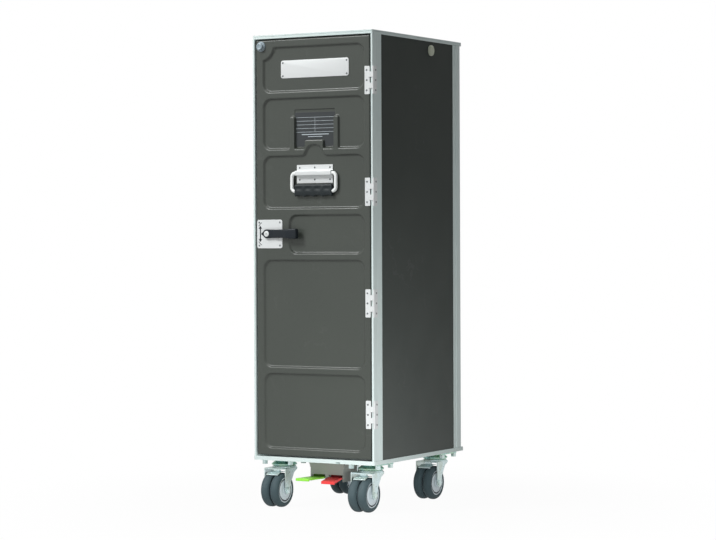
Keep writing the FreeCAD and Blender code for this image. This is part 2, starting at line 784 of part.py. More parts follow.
def latch_spindle():
    """Spindle through the door with its round front cap and rear head."""
    lever_front = door_face_y - latch_plate_thickness - 0.5 - lever_thickness
    cam_rear = jamb_rear_y + strike_thickness + 0.5 + cam_thickness
    profile = [(0, 0), (0, 7.0), (0.6, 7.5), (1.4, 7.5), (1.4, spindle_radius),
               (cam_rear - lever_front + 1.4, spindle_radius), (cam_rear - lever_front + 1.4, 8.0),
               (cam_rear - lever_front + 4.4, 8.0), (cam_rear - lever_front + 4.4, 0)]
    return revolve(profile, V(latch_x, lever_front - 1.4, latch_z), V(0, 1, 0), V(0, 0, 1))


def latch_cam():
    """Cam behind the door that turns onto the strike."""
    y0 = jamb_rear_y + strike_thickness + 0.5
    hub = rod(V(latch_x, y0, latch_z), V(0, 1, 0), 9.0, cam_thickness)
    half = cam_width / 2
    arm = box(latch_x - half, latch_x + half, y0, y0 + cam_thickness, latch_z - cam_length, latch_z)
    foot = [e for e in edges_along(arm, V(0, 1, 0)) if e.Vertexes[0].Z < latch_z - 1]
    arm = arm.makeFillet(3.0, foot)
    return hub.fuse(arm).cut(spindle_bore(spindle_radius))


# ---------------------------------------------------------------- folding handle
def handle_plate():
    """Riveted plate with the rolled sleeve that the handle rod turns in."""
    x0 = handle_x - handle_plate_width / 2
    x1 = handle_x + handle_plate_width / 2
    flat = rounded_box(x0, x1, field_floor_y - plate_thickness, field_floor_y, *handle_plate_z,
                       3.0, V(0, 1, 0))
    sleeve = rod(V(x0, rod_y, handle_pivot_z), V(1, 0, 0), sleeve_radius, handle_plate_width)
    block = box(x0, x1, rod_y, field_floor_y, handle_pivot_z - sleeve_radius, handle_pivot_z + sleeve_radius)
    bore = rod(V(x0 - 1, rod_y, handle_pivot_z), V(1, 0, 0), handle_rod_radius + turning_clearance,
               handle_plate_width + 2)
    return flat.fuse([sleeve, block]).cut(bore)


def handle_bail():
    """Round bar bent into a closed loop through the sleeve and the grip."""
    left = handle_x - bail_half_span
    right = handle_x + bail_half_span
    low = handle_pivot_z - bail_drop
    high = handle_pivot_z
    radius = handle_rod_radius
    bend = bail_half_span - grip_half_length
    pieces = [rod(V(left + bend, rod_y, high), V(1, 0, 0), radius, right - left - 2 * bend),
              rod(V(left + bend, rod_y, low), V(1, 0, 0), radius, right - left - 2 * bend)]
    for x in (left, right):
        pieces.append(rod(V(x, rod_y, low + bend), V(0, 0, 1), radius, high - low - 2 * bend))
    for x, side_x in ((left, 1), (right, -1)):
        for z, side_z in ((low, 1), (high, -1)):
            centre = V(x + side_x * bend, rod_y, z + side_z * bend)
            circle = Part.Face(Part.Wire(Part.makeCircle(radius, V(x, rod_y, centre.z), V(0, 0, 1))))
            quarter = circle.revolve(centre, V(0, 1, 0), 90.0 * side_x * -side_z)
            pieces.append(quarter)
    return pieces[0].fuse(pieces[1:])


def handle_grip():
    """Rubber grip with finger scallops along its lower edge."""
    x0 = handle_x - grip_half_length
    x1 = handle_x + grip_half_length
    top = handle_pivot_z - bail_drop + grip_height * 0.55
    low = top - grip_height
    y0 = field_floor_y - grip_gap - grip_thickness
    body = box(x0, x1, y0, y0 + grip_thickness, low, top)
    body = body.makeFillet(3.6, edges_along(body, V(1, 0, 0)))
    pitch = (x1 - x0) / grip_scallops
    scallop_radius = pitch * 0.95
    for index in range(grip_scallops):
        x = x0 + (index + 0.5) * pitch
        cutter = rod(V(x, y0 - 1, low - scallop_radius + 2.6), V(0, 1, 0), scallop_radius, grip_thickness + 2)
        body = body.cut(cutter)
    bar = rod(V(x0 - 1, rod_y, handle_pivot_z - bail_drop), V(1, 0, 0), handle_rod_radius, x1 - x0 + 2)
    return body.cut(bar)


# ---------------------------------------------------------------- fasteners
def door_fasteners():
    """Rivets of the plates and screws of the door leaves."""
    heads = []
    outward = V(0, -1, 0)
    plate_y = field_floor_y - plate_thickness
    for x in (name_plate_x[0] + 5, name_plate_x[1] - 5):
        for z in (name_plate_z[0] + 5, name_plate_z[1] - 5):
            heads.append(dome(V(x, plate_y, z), outward, rivet_radius, rivet_height))
    for z in (handle_plate_z[0] + 8, handle_plate_z[1] - 6):
        for step in (-1, 0, 1):
            x = handle_x + step * (handle_plate_width / 2 - 7)
            heads.append(dome(V(x, plate_y, z), outward, rivet_radius, rivet_height))
    for x in (latch_plate_x[0] + 6, latch_plate_x[1] - 6):
        for z in (latch_plate_z[0] + 6, latch_plate_z[1] - 6):
            heads.append(dome(V(x, door_face_y - latch_plate_thickness, z), outward, rivet_radius, rivet_height))
    for z_centre in hinge_centres_z:
        for z in hinge_screw_heights(z_centre):
            heads.append(dome(V(hinge_leaf_left_x + 5, door_face_y - hinge_leaf, z), outward,
                              screw_radius, rivet_height))
    return heads


def frame_fasteners():
    """Screws of the post leaves and bolts of the castor plates."""
    heads = []
    for z_centre in hinge_centres_z:
        for z in hinge_screw_heights(z_centre):
            heads.append(dome(V(half_width + hinge_leaf, front_y + side_leaf_depth - 4.5, z), V(1, 0, 0),
                              screw_radius, rivet_height))
    under = base_bottom_z - head_plate_thickness
    for x, y in castor_places().values():
        for dx in (-1, 1):
            for dy in (-1, 1):
                point = V(x + dx * castor_bolt_spacing[0] / 2, y + dy * castor_bolt_spacing[1] / 2, under)
                heads.append(hexagon_bolt(point, castor_bolt_flats, castor_bolt_height))
    return heads


# ---------------------------------------------------------------- brake
def brake_housing():
    """Open-bottomed sheet housing with a slot for each pedal and flared upper sides."""
    y0 = front_y + housing_behind_front
    y1 = y0 + housing_depth
    w = housing_half_width
    top = base_bottom_z
    body = box(-w, w, y0, y1, housing_bottom_z, top)
    for side in (-1, 1):
        flare = box(*sorted((side * w, side * (w + housing_flare))), y0, y1, top - housing_flare, top)
        scoop = rod(V(side * (w + housing_flare), y0 - 1, top - housing_flare), V(0, 1, 0),
                    housing_flare - 1.2, housing_depth + 2)
        body = body.fuse(flare.cut(scoop))
    inner = w - housing_wall
    body = body.cut(box(-inner, inner, y0 + housing_wall, y1 - housing_wall, housing_bottom_z - 1, top - housing_wall))
    for side in (-1, 1):
        slot_x = sorted((side * (pedal_inner_x - 1.0), side * inner))
        body = body.cut(box(*slot_x, y0 - 1, y0 + housing_wall + 1, housing_bottom_z - 1, pedal_slot_top_z))
    return body


def brake_shaft():
    """Cross shaft of the pedals, held in the housing's side walls."""
    length = 2 * (housing_half_width - housing_wall)
    return rod(V(-length / 2, shaft_y, shaft_z), V(1, 0, 0), shaft_radius, length)


def pedal(side, tip_y, tip_z):
    """Foot pedal: a hub on the shaft, a cranked arm and a foot plate with a turned-down lip."""
    x0, x1 = sorted((side * pedal_inner_x, side * pedal_outer_x))
    t = pedal_thickness
    slot_y = front_y + housing_behind_front
    slot_z = housing_bottom_z + 6.0
    arm = [(shaft_y + 3.0, shaft_z - 6.0), (shaft_y + 3.0, shaft_z + 2.0), (shaft_y - 6.0, shaft_z + 4.0),
           (slot_y + 8.0, slot_z + t), (slot_y - 4.0, slot_z + t), (tip_y, tip_z + t / 2),
           (tip_y, tip_z - t), (tip_y + 2.0, tip_z - t), (tip_y + 4.0, tip_z - t / 2),
           (slot_y - 4.0, slot_z), (slot_y + 6.0, slot_z)]
    body = prism_yz(arm, x0, x1)
    hub = rod(V(x0, shaft_y, shaft_z), V(1, 0, 0), shaft_radius + 4.0, x1 - x0)
    bore = rod(V(x0 - 1, shaft_y, shaft_z), V(1, 0, 0), shaft_radius + turning_clearance, x1 - x0 + 2)
    return body.fuse(hub).cut(bore)


# ---------------------------------------------------------------- castors
def castor_places():
    """Swivel axis of each castor, by name."""
    return {"front_left": (-castor_x, middle_y - castor_y), "front_right": (castor_x, middle_y - castor_y),
            "rear_left": (-castor_x, middle_y + castor_y), "rear_right": (castor_x, middle_y + castor_y)}


def castor_head(x, y):
    """Top plate, bearing cup and king pin of one castor."""
    under = base_bottom_z - head_plate_thickness
    plate = rounded_box(x - head_plate[0] / 2, x + head_plate[0] / 2, y - head_plate[1] / 2,
                        y + head_plate[1] / 2, under, base_bottom_z, 8.0, V(0, 0, 1))
    nut_top = fork_top_z - fork_sheet - race_gap
    cup = [(under, 0), (under, cup_top_radius), (under - 3.0, cup_top_radius + 1.0),
           (head_bottom_z + 6.5, head_radius - 2.0), (head_bottom_z + 5.0, head_radius),
           (head_bottom_z + 2.5, head_radius), (head_bottom_z + 1.5, race_radius - 2.0),
           (head_bottom_z, race_radius - 2.0), (head_bottom_z, king_pin_radius),
           (nut_top, king_pin_radius), (nut_top, king_pin_radius + 4.0),
           (nut_top - 2.0, king_pin_radius + 4.0), (nut_top - 2.0, 0)]
    turned = revolve(cup, V(x, y, 0), V(0, 0, 1), V(1, 0, 0))
    return plate.fuse(turned)


def castor_fork(x, y):
    """Pressed fork: crown with raised bearing race, two tapered legs and a curved guard."""
    w = fork_half_width
    t = fork_sheet
    low = fork_top_z - t
    front = y - fork_front
    hub_y = y - castor_trail
    boss = fork_boss_radius
    crown = box(x - w, x + w, front, y, low, fork_top_z).fuse(rod(V(x, y, low), V(0, 0, 1), w, t))
    race_top = head_bottom_z - race_gap
    race = revolve([(fork_top_z - 1.0, 0), (fork_top_z - 1.0, race_radius), (race_top - 0.8, race_radius),
                    (race_top, race_radius - 0.8), (race_top, 0)], V(x, y, 0), V(0, 0, 1), V(1, 0, 0))
    leg = [(front, fork_top_z), (front, low - 18.0), (hub_y - boss, axle_z + 6.0), (hub_y - boss, axle_z),
           (hub_y + boss - 1.0, axle_z), (hub_y + boss + 3.0, axle_z + 16.0),
           (y - 4.0, low - 8.0), (y + fork_rear, low - 1.0), (y + fork_rear, fork_top_z)]
    pieces = [race]
    for side in (-1, 1):
        x0, x1 = sorted((x + side * w, x + side * (w - t)))
        pieces.append(prism_yz(leg, x0, x1))
        pieces.append(rod(V(x0, hub_y, axle_z), V(1, 0, 0), boss, t))
    guard_x = x - guard_half_width
    reach = wheel_radius + guard_gap
    guard = rod(V(guard_x, hub_y, axle_z), V(1, 0, 0), reach + guard_sheet, 2 * guard_half_width)
    guard = guard.cut(rod(V(guard_x - 1, hub_y, axle_z), V(1, 0, 0), reach, 2 * guard_half_width + 2))
    guard = guard.common(box(guard_x, x + guard_half_width, hub_y - 21, hub_y + 8, axle_z + 30, low))
    web = box(x - guard_half_width / 2, x + guard_half_width / 2, hub_y - 3, hub_y + 3, axle_z + reach + 0.8, low)
    pieces.extend([guard, web])
    bore = rod(V(x, y, low - 10), V(0, 0, 1), king_pin_radius + turning_clearance, 40)
    axle_bore = rod(V(x - w - 1, hub_y, axle_z), V(1, 0, 0), axle_radius, 2 * w + 2)
    return crown.fuse(pieces).cut(bore).cut(axle_bore)


def castor_axle(x, y):
    """Axle bolt with a domed head at each end."""
    w = fork_half_width
    profile = [(-w - 3.2, 0), (-w - 3.2, 4.0), (-w - 2.0, 6.5), (-w, 6.5), (-w, axle_radius), (w, axle_radius),
               (w, 6.5), (w + 2.0, 6.5), (w + 3.2, 4.0), (w + 3.2, 0)]
    return revolve(profile, V(x, y - castor_trail, axle_z), V(1, 0, 0), V(0, 0, 1))


def wheel_rim(x, y, side):
    """Hub disc of one wheel, with a ring groove on its outer face."""
    inner = wheel_gap / 2
    outer = inner + wheel_width
    seat = wheel_radius - tyre_thickness
    bore = axle_radius + turning_clearance
    profile = [(inner, bore), (inner, 12.0), (inner + 3.0, 14.0), (inner + 3.0, seat - 4.0), (inner + 1.0, seat),
               (outer - 2.0, seat), (outer - 1.5, seat - 3.0), (outer - 3.0, seat - 4.0), (outer - 3.0, seat - 6.0),
               (outer - 1.5, seat - 7.0), (outer - 1.0, 9.0), (outer + hub_stand, 8.0), (outer + hub_stand, bore)]
    return revolve(profile, V(x, y - castor_trail, axle_z), V(side, 0, 0), V(0, 0, 1))


def wheel_tyre(x, y, side):
    """Grey tyre of one wheel with rounded shoulders."""
    inner = wheel_gap / 2
    outer = inner + wheel_width
    seat = wheel_radius - tyre_thickness
    r = tread_radius
    centre = V(x, y - castor_trail, axle_z)
    along = V(side, 0, 0)
    up = V(0, 0, 1)

    def at(a, radius):
        return centre + along * a + up * radius

    bend = r * (1 - math.cos(math.pi / 4))
    edges = [Part.LineSegment(at(inner + 1.0, seat), at(outer - 2.0, seat)).toShape(),
             Part.LineSegment(at(outer - 2.0, seat), at(outer, wheel_radius - r)).toShape(),
             Part.Arc(at(outer, wheel_radius - r), at(outer - bend, wheel_radius - bend),
                      at(outer - r, wheel_radius)).toShape(),
             Part.LineSegment(at(outer - r, wheel_radius), at(inner + r, wheel_radius)).toShape(),
             Part.Arc(at(inner + r, wheel_radius), at(inner + bend, wheel_radius - bend),
                      at(inner, wheel_radius - r)).toShape(),
             Part.LineSegment(at(inner, wheel_radius - r), at(inner + 1.0, seat)).toShape()]
    return Part.Face(Part.Wire(edges)).revolve(centre, along, 360)


# ---------------------------------------------------------------- assembly
def build():
    """Write every piece of the cart."""
    os.makedirs("parts", exist_ok=True)
    save("corner_posts_front", corner_posts_front())
    save("corner_posts_rear", corner_posts_rear())
    save("top_rail", top_rail())
    save("base_rail", base_rail())
    save("side_panel_right", [side_panel_right()])
    save("side_panel_left", [mirrored(side_panel_right())])
    save("rear_panel", [rear_panel()])
    save("top_panel", [top_panel()])
    save("floor_plate", [floor_plate()])
    save("inner_walls", inner_walls())
    save("tray_runners", tray_runners())
    save("latch_strike", [latch_strike()])
    save("hold_open_disc", [hold_open_disc()])
    save("hinge_post_leaves", [post_leaf(z) for z in hinge_centres_z])
    save("frame_fasteners", frame_fasteners())
    save("brake_housing", [brake_housing()])
    save("brake_shaft", [brake_shaft()])
    save("door_skin", [door_skin()])
    save("door_liner", [door_liner()])
    save("door_seal", door_seal())
    save("door_stud", [door_stud()])
    save("name_plate", [name_plate()])
    save("card_holder", [card_holder()])
    save("card", [card()])
    save("handle_plate", [handle_plate()])
    save("latch_plate", [latch_plate()])
    save("hinge_door_leaves", [door_leaf(z) for z in hinge_centres_z])
    save("door_fasteners", door_fasteners())
    save("latch_lever", [latch_lever()])
    save("latch_spindle", [latch_spindle()])
    save("latch_cam", [latch_cam()])
    save("handle_bail", [handle_bail()])
    save("handle_grip", [handle_grip()])
    save("brake_pedal_green", [pedal(-1, front_y - green_tip_ahead, green_tip_z)])
    save("brake_pedal_red", [pedal(1, front_y + red_tip_behind, red_tip_z)])
    save("castor_heads", [castor_head(x, y) for x, y in castor_places().values()])
    for place, (x, y) in castor_places().items():
        save("castor_fork_" + place, [castor_fork(x, y)])
        save("castor_axle_" + place, [castor_axle(x, y)])
        for hand, side in (("left", -1), ("right", 1)):
            save("wheel_rim_" + place + "_" + hand, [wheel_rim(x, y, side)])
            save("wheel_tyre_" + place + "_" + hand, [wheel_tyre(x, y, side)])


build()
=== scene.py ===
"""Airline galley cart: the formed pieces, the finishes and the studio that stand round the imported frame, in metres."""

import json
import math
from collections import namedtuple

import bmesh
import bpy
import numpy as np
from bpy.props import FloatProperty, FloatVectorProperty, IntProperty, PointerProperty
from mathutils import Matrix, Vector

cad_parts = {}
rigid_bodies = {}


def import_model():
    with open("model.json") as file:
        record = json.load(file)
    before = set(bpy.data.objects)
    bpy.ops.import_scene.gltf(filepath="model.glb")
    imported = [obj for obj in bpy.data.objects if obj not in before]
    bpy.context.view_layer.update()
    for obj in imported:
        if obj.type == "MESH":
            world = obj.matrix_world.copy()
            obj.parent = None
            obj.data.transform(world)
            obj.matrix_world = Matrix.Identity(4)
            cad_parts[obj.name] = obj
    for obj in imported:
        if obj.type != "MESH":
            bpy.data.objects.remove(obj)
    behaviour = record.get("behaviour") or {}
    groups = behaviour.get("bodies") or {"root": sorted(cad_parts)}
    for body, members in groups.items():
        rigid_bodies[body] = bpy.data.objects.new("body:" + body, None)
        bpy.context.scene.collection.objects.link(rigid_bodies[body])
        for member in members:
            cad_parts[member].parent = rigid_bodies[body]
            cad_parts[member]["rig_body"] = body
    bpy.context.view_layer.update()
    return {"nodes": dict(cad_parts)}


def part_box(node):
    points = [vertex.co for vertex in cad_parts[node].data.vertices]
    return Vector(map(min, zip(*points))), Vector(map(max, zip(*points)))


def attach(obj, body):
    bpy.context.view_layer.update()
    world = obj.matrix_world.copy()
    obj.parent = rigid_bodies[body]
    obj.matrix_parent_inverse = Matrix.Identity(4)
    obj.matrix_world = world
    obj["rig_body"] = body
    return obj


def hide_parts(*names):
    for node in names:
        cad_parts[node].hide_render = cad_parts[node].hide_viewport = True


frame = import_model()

bl_info = {
    "name": "Galley cart",
    "version": (1, 0, 0),
    "blender": (4, 5, 0),
    "location": "View3D > Sidebar > Galley cart",
    "description": "Formed door, castors, fittings, finishes and studio of an airline galley cart",
    "category": "Object",
}

MM = 0.001
CASTORS = ("front_left", "front_right", "rear_left", "rear_right")
WHITE = (1.0, 1.0, 1.0, 1.0)

# places on the door, in millimetres: its face, the latch spindle's axis (x, z) and the stud's (x, z)
DOOR_FACE = -195.25
LATCH_X, LATCH_Z = -112.9, 597.7
STUD_X, STUD_Z = -129.5, 1005.5
# where its fittings stand on the sheet behind its face
FITTING_BACK, FITTING_FRONT = -190.25, -191.45


# ---- sizes and colours that a user may change
def length(label, about, value):
    """A length in metres."""
    return FloatProperty(name=label, description=about, default=value, subtype="DISTANCE", unit="LENGTH", precision=5)


def colour(label, about, value):
    """A colour in linear red, green and blue."""
    return FloatVectorProperty(name=label, description=about, default=value, size=3, subtype="COLOR", min=0.0, max=1.0)


def power(label, about, value):
    """A lamp's power in watts."""
    return FloatProperty(name=label, description=about, default=value, min=0.0, subtype="POWER", unit="POWER")


class CartShape(bpy.types.PropertyGroup):
    """Sizes of the formed and softened pieces."""
    shoulder: length("Field shoulder", "Width of the rounded slope round each recessed field of the door", 0.0046)
    field_depth: length("Field depth", "Depth of the recessed fields of the door", 0.005)
    skin_round: length("Skin rounding", "Radius of the door skin's outer edge", 0.0025)
    extrusion_round: length("Extrusion rounding", "Edge radius of the posts and rails", 0.0009)
    sheet_round: length("Sheet rounding", "Edge radius of hinges, plates and pressed steel", 0.0004)
    grip_dimple: length("Grip dimple", "Depth of the finger dimples on the front of the grip", 0.0024)
    around: IntProperty(name="Points round", description="Points round each turned piece", default=72, min=24, max=128)


class CartColours(bpy.types.PropertyGroup):
    """Main colours of the cart."""
    door: colour("Door", "Grey of the door skin", (0.052, 0.060, 0.052))
    panels: colour("Side panels", "Dark grey of the side and rear panels", (0.056, 0.065, 0.060))
    frame: colour("Frame", "Satin aluminium of the posts and rails", (0.665, 0.76, 0.745))
    plates: colour("Plates", "Steel of plates and hinges", (0.71, 0.735, 0.735))
    tyres: colour("Tyres", "Grey rubber of the castor tyres", (0.056, 0.084, 0.094))
    zinc: colour("Zinc", "Zinc plating of the castors", (0.30, 0.52, 0.49))
    green_pedal: colour("Green pedal", "Release pedal", (0.30, 0.78, 0.07))
    red_pedal: colour("Red pedal", "Brake pedal", (0.86, 0.055, 0.055))


class CartStudio(bpy.types.PropertyGroup):
    """Lamps and surroundings."""
    key: power("Key lamp", "Power of the large lamp ahead and to the left", 136.0)
    top: power("Top lamp", "Power of the lamp over the cart", 32.0)
    low: power("Low lamp", "Power of the lamp near the floor on the right", 1.9)
    surround: FloatProperty(name="Surround", description="Brightness of the studio's walls as a share of white",
                            default=0.155, min=0.0, max=1.0, subtype="FACTOR")
    lens: FloatProperty(name="Lens", description="Focal length of the camera, in millimetres", default=115.19,
                        min=20.0, max=400.0)


# ---- surfaces
def smooth_step(t):
    """t²(3 − 2t) with t held between 0 and 1."""
    t = np.clip(t, 0.0, 1.0)
    return t * t * (3.0 - 2.0 * t)


def surface(points, wrap_rows=False, wrap_columns=False, capped=False):
    """Grid of points as four-sided cells, joined end to end where asked, with flat caps on its first and last rows."""
    rows, columns = points.shape[:2]
    i = np.arange(rows if wrap_rows else rows - 1)[:, None]
    j = np.arange(columns if wrap_columns else columns - 1)[None, :]
    after, above = (j + 1) % columns, (i + 1) % rows
    cells = np.stack(np.broadcast_arrays(i * columns + j, i * columns + after, above * columns + after,
                                         above * columns + j), axis=-1).reshape(-1, 4)
    faces = cells.tolist()
    if capped:
        faces += [list(range(columns))[::-1], list(range((rows - 1) * columns, rows * columns))]
    return points.reshape(-1, 3), faces


def cross_directions(axis):
    """Two directions square to the axis and to each other."""
    axis = np.asarray(axis, float) / np.linalg.norm(axis)
    helper = np.eye(3)[np.argmin(np.abs(axis))]
    first = np.cross(axis, helper)
    first /= np.linalg.norm(first)
    return axis, first, np.cross(axis, first)


def turned(profile, centre, axis, around, ring=False):
    """Turned shape: profile point (r, h) goes to centre + h·axis + r·(cos t·u + sin t·v) for every angle t.

    The profile runs from the axis to the axis, or for a ring it is a closed loop clear of the axis.
    """
    profile = np.asarray(profile, float) * MM
    axis, u, v = cross_directions(axis)
    t = np.arange(around) * (2 * np.pi / around)
    spokes = np.cos(t)[:, None] * u + np.sin(t)[:, None] * v
    points = (np.asarray(centre, float) * MM + profile[:, 1, None, None] * axis
              + profile[:, 0, None, None] * spokes[None])
    if ring:
        return surface(points, wrap_rows=True, wrap_columns=True)
    count = len(profile)
    flat, faces = surface(points[1:-1], wrap_columns=True)
    k = np.arange(around)
    ends = np.array([points[0, 0], points[-1, 0]])
    first, last = len(flat), len(flat) + 1
    base = (count - 3) * around
    faces += np.stack([np.full(around, first), (k + 1) % around, k], axis=-1).tolist()
    faces += np.stack([np.full(around, last), base + k, base + (k + 1) % around], axis=-1).tolist()
    return np.vstack([flat, ends]), faces


def rounded_outline(corners, steps=6):
    """Outline of straight sides and round corners (x, z, radius), anticlockwise, with its outward normals.

    With unit directions a and b from a corner c along its two sides, the arc's centre is c + (a + b)·r/|a × b|,
    and its points stand r away on the side of the normal, which turns evenly from one side's to the next's.
    """
    corners = np.asarray(corners, float)
    place, radius = corners[:, :2], corners[:, 2]
    along = np.roll(place, -1, axis=0) - place
    along /= np.linalg.norm(along, axis=1)[:, None]
    before = np.roll(along, 1, axis=0)
    turn = before[:, 0] * along[:, 1] - before[:, 1] * along[:, 0]
    centre = place + (along - before) * (radius / np.abs(turn))[:, None]
    start = np.arctan2(-before[:, 0], before[:, 1])
    sweep = (np.arctan2(-along[:, 0], along[:, 1]) - start + np.pi) % (2 * np.pi) - np.pi
    angle = start[:, None] + sweep[:, None] * np.linspace(0.0, 1.0, steps + 1)[None]
    normals = np.stack([np.cos(angle), np.sin(angle)], axis=-1)
    points = centre[:, None] + (np.sign(turn) * radius)[:, None, None] * normals
    return points.reshape(-1, 2), normals.reshape(-1, 2)


def plate(corners, back, front, rounding):
    """Flat plate in an XZ outline from depth back to depth front, its front edge a quarter round.

    Row k of the edge is the outline moved in by r(1 − cos φ) at depth front − r·s·(1 − sin φ), φ from 0 to 90°.
    """
    outline, normals = rounded_outline(corners)
    toward = np.sign(front - back)
    phi = np.linspace(0.0, np.pi / 2, 4)
    inset = np.concatenate([[0.0], rounding * (1 - np.cos(phi))])
    depth = np.concatenate([[back], front - toward * rounding * (1 - np.sin(phi))])
    flat = outline[None] - inset[:, None, None] * normals[None]
    points = np.stack([flat[..., 0], np.broadcast_to(depth[:, None], flat.shape[:2]), flat[..., 1]], axis=-1)
    return capped_tube(points)


def capped_tube(points):
    """Rows of closed loops in millimetres, joined and capped at both ends."""
    return surface(points * MM, wrap_columns=True, capped=True)


def rectangle(left, right, bottom, top, radius):
    """Four equal round corners, anticlockwise."""
    return [(left, bottom, radius), (right, bottom, radius), (right, top, radius), (left, top, radius)]


def superellipse(count, power):
    """Unit outline |y|^n + |z|^n = 1 as points (sgn(cos t)·|cos t|^(2/n), sgn(sin t)·|sin t|^(2/n))."""
    t = np.arange(count) * (2 * np.pi / count)
    bent = 2.0 / power
    return (np.sign(np.cos(t)) * np.abs(np.cos(t)) ** bent, np.sign(np.sin(t)) * np.abs(np.sin(t)) ** bent)


def box_shell(x0, x1, y0, y1, z0, z1):
    """Plain block as a ring of four corners carried from z0 to z1."""
    ring = np.array([(x0, y0), (x1, y0), (x1, y1), (x0, y1)], float)
    points = np.stack([np.column_stack([ring, np.full(4, z)]) for z in (z0, z1)])
    return capped_tube(points)


def spaced(stretches):
    """Rising coordinates with their own step in each stretch (start, end, step)."""
    parts = [np.linspace(a, b, max(1, math.ceil((b - a) / step)), endpoint=False) for a, b, step in stretches]
    return np.concatenate(parts + [[stretches[-1][1]]])


def as_piece(name, mesh, coat, body, stands_for=(), sharp=32.0):
    """Object of a finished mesh in one coat, smooth except where its faces meet more sharply than an angle."""
    mesh.polygons.foreach_set("use_smooth", np.ones(len(mesh.polygons), bool))
    mesh.set_sharp_from_angle(angle=math.radians(sharp))
    mesh.materials.clear()
    mesh.materials.append(finish(coat))
    piece = bpy.data.objects.new(name, mesh)
    bpy.context.scene.collection.objects.link(piece)
    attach(piece, body)
    if stands_for:
        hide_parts(*stands_for)
    return piece


def make_piece(name, shells, body, slot, stands_for=(), sharp=38.0):
    """One object of closed shells, their doubles merged and their faces turned outward."""
    points, faces, first = [], [], 0
    for shell_points, shell_faces in shells:
        points.append(shell_points)
        faces += [[first + k for k in face] for face in shell_faces]
        first += len(shell_points)
    mesh = bpy.data.meshes.new(name)
    mesh.from_pydata(np.vstack(points).tolist(), [], faces)
    work = bmesh.new()
    work.from_mesh(mesh)
    bmesh.ops.remove_doubles(work, verts=work.verts, dist=1e-7)
    bmesh.ops.recalc_face_normals(work, faces=work.faces)
    work.to_mesh(mesh)
    work.free()
    return as_piece(name, mesh, slot, body, stands_for, sharp)


def copied(node, name, coat, wanted=None):
    """A merged copy of a node, or of its faces whose centres pass a test, its flat faces rejoined, in one finish."""
    source = frame["nodes"][node]
    mesh = source.data.copy()
    mesh.name = name
    work = bmesh.new()
    work.from_mesh(mesh)
    bmesh.ops.remove_doubles(work, verts=work.verts, dist=2e-6)
    if wanted:
        others = [face for face in work.faces if not wanted(face.calc_center_median())]
        bmesh.ops.delete(work, geom=others, context="FACES")
    bmesh.ops.dissolve_limit(work, angle_limit=math.radians(0.6), verts=work.verts, edges=work.edges)
    work.to_mesh(mesh)
    work.free()
    if mesh.attributes.get("custom_normal"):
        mesh.attributes.remove(mesh.attributes["custom_normal"])
    return as_piece(name, mesh, coat, source["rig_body"], [node])


def soften(node, width, coat=None):
    """A merged copy of a node, its edges given a small round."""
    bevel = copied(node, node + "_softened", coat or slot_of[node]).modifiers.new("small round", "BEVEL")
    bevel.width = width
    bevel.segments = 2
    bevel.limit_method = "ANGLE"
    bevel.angle_limit = math.radians(32.0)
    bevel.harden_normals = True
    bevel.use_clamp_overlap = True


def keep_node(*names, coat=None):
    """CAD nodes whose shape stays, with the finish of their slot or another."""
    for name in names:
        frame["nodes"][name].material_slots[0].material = finish(coat or slot_of[name])


# ---- shared effects
NUMBER, VECTOR, COLOUR = "NodeSocketFloat", "NodeSocketVector", "NodeSocketColor"
MIX_UNDER, MIX_OVER, MIX_OUT = 6, 7, 2  # where a Mix node keeps its two colours and the mixed one


def new_group(name, inputs, outputs):
    """Shader node group with a Vector and the other named inputs, and its input and output nodes."""
    tree = bpy.data.node_groups.new(name, "ShaderNodeTree")
    for label, kind, value in [("Vector", VECTOR, None), *inputs]:
        socket = tree.interface.new_socket(name=label, in_out="INPUT", socket_type=kind)
        if value is not None:
            socket.default_value = value
    for label, kind in outputs:
        tree.interface.new_socket(name=label, in_out="OUTPUT", socket_type=kind)
    start, end = tree.nodes.new("NodeGroupInput"), tree.nodes.new("NodeGroupOutput")
    start.location, end.location = (-900, 0), (500, 0)
    return tree, start, end


def emptied_tree(owner):
    """The node tree of a new material or world, with nothing in it."""
    owner.use_nodes = True
    owner.node_tree.nodes.clear()
    return owner.node_tree


def put(tree, kind, at, settings=None, **values):
    """A shader node at a place, with its settings and the values of its named inputs."""
    made = tree.nodes.new("ShaderNode" + kind)
    made.location = at
    for key, value in (settings or {}).items():
        setattr(made, key, value)
    for key, value in values.items():
        made.inputs[key.replace("_", " ")].default_value = value
    return made


def maths(tree, operation, at, clamp=False):
    """A Math node."""
    return put(tree, "Math", at, {"operation": operation, "use_clamp": clamp})


def wire(tree, *runs):
    """Links, each given as node, output, node, input."""
    for source, out, target, into in runs:
        tree.links.new(source.outputs[out], target.inputs[into])


def clouds(tree, start, at, levels, share=(0.0, 1.0), scale=None, softly=False, **noise):
    """Noise on the group's coordinates, with the stretch between two levels spread over a share."""
    cloud = put(tree, "TexNoise", at, None, **noise)
    spread = put(tree, "MapRange", (at[0] + 220, at[1]), {"interpolation_type": "SMOOTHSTEP"} if softly else None,
                 From_Min=levels[0], From_Max=levels[1], To_Min=share[0], To_Max=share[1])
    wire(tree, (start, "Vector", cloud, "Vector"), (cloud, "Fac", spread, "Value"))
    if scale is None:
        wire(tree, (start, "Scale", cloud, "Scale"))
    else:
        cloud.inputs["Scale"].default_value = scale
    return spread


def mask_out(tree, start, end, mask, out="Result", broken=None):
    """A mask, times another where given, times the group's Amount, held between 0 and 1, as the group's output."""
    if broken:
        both = maths(tree, "MULTIPLY", (-60, 0))
        wire(tree, (mask, out, both, 0), (broken, "Result", both, 1))
        mask, out = both, 0
    share = maths(tree, "MULTIPLY", (140, 0), clamp=True)
    wire(tree, (mask, out, share, 0), (start, "Amount", share, 1), (share, 0, end, "Mask"))
    return tree


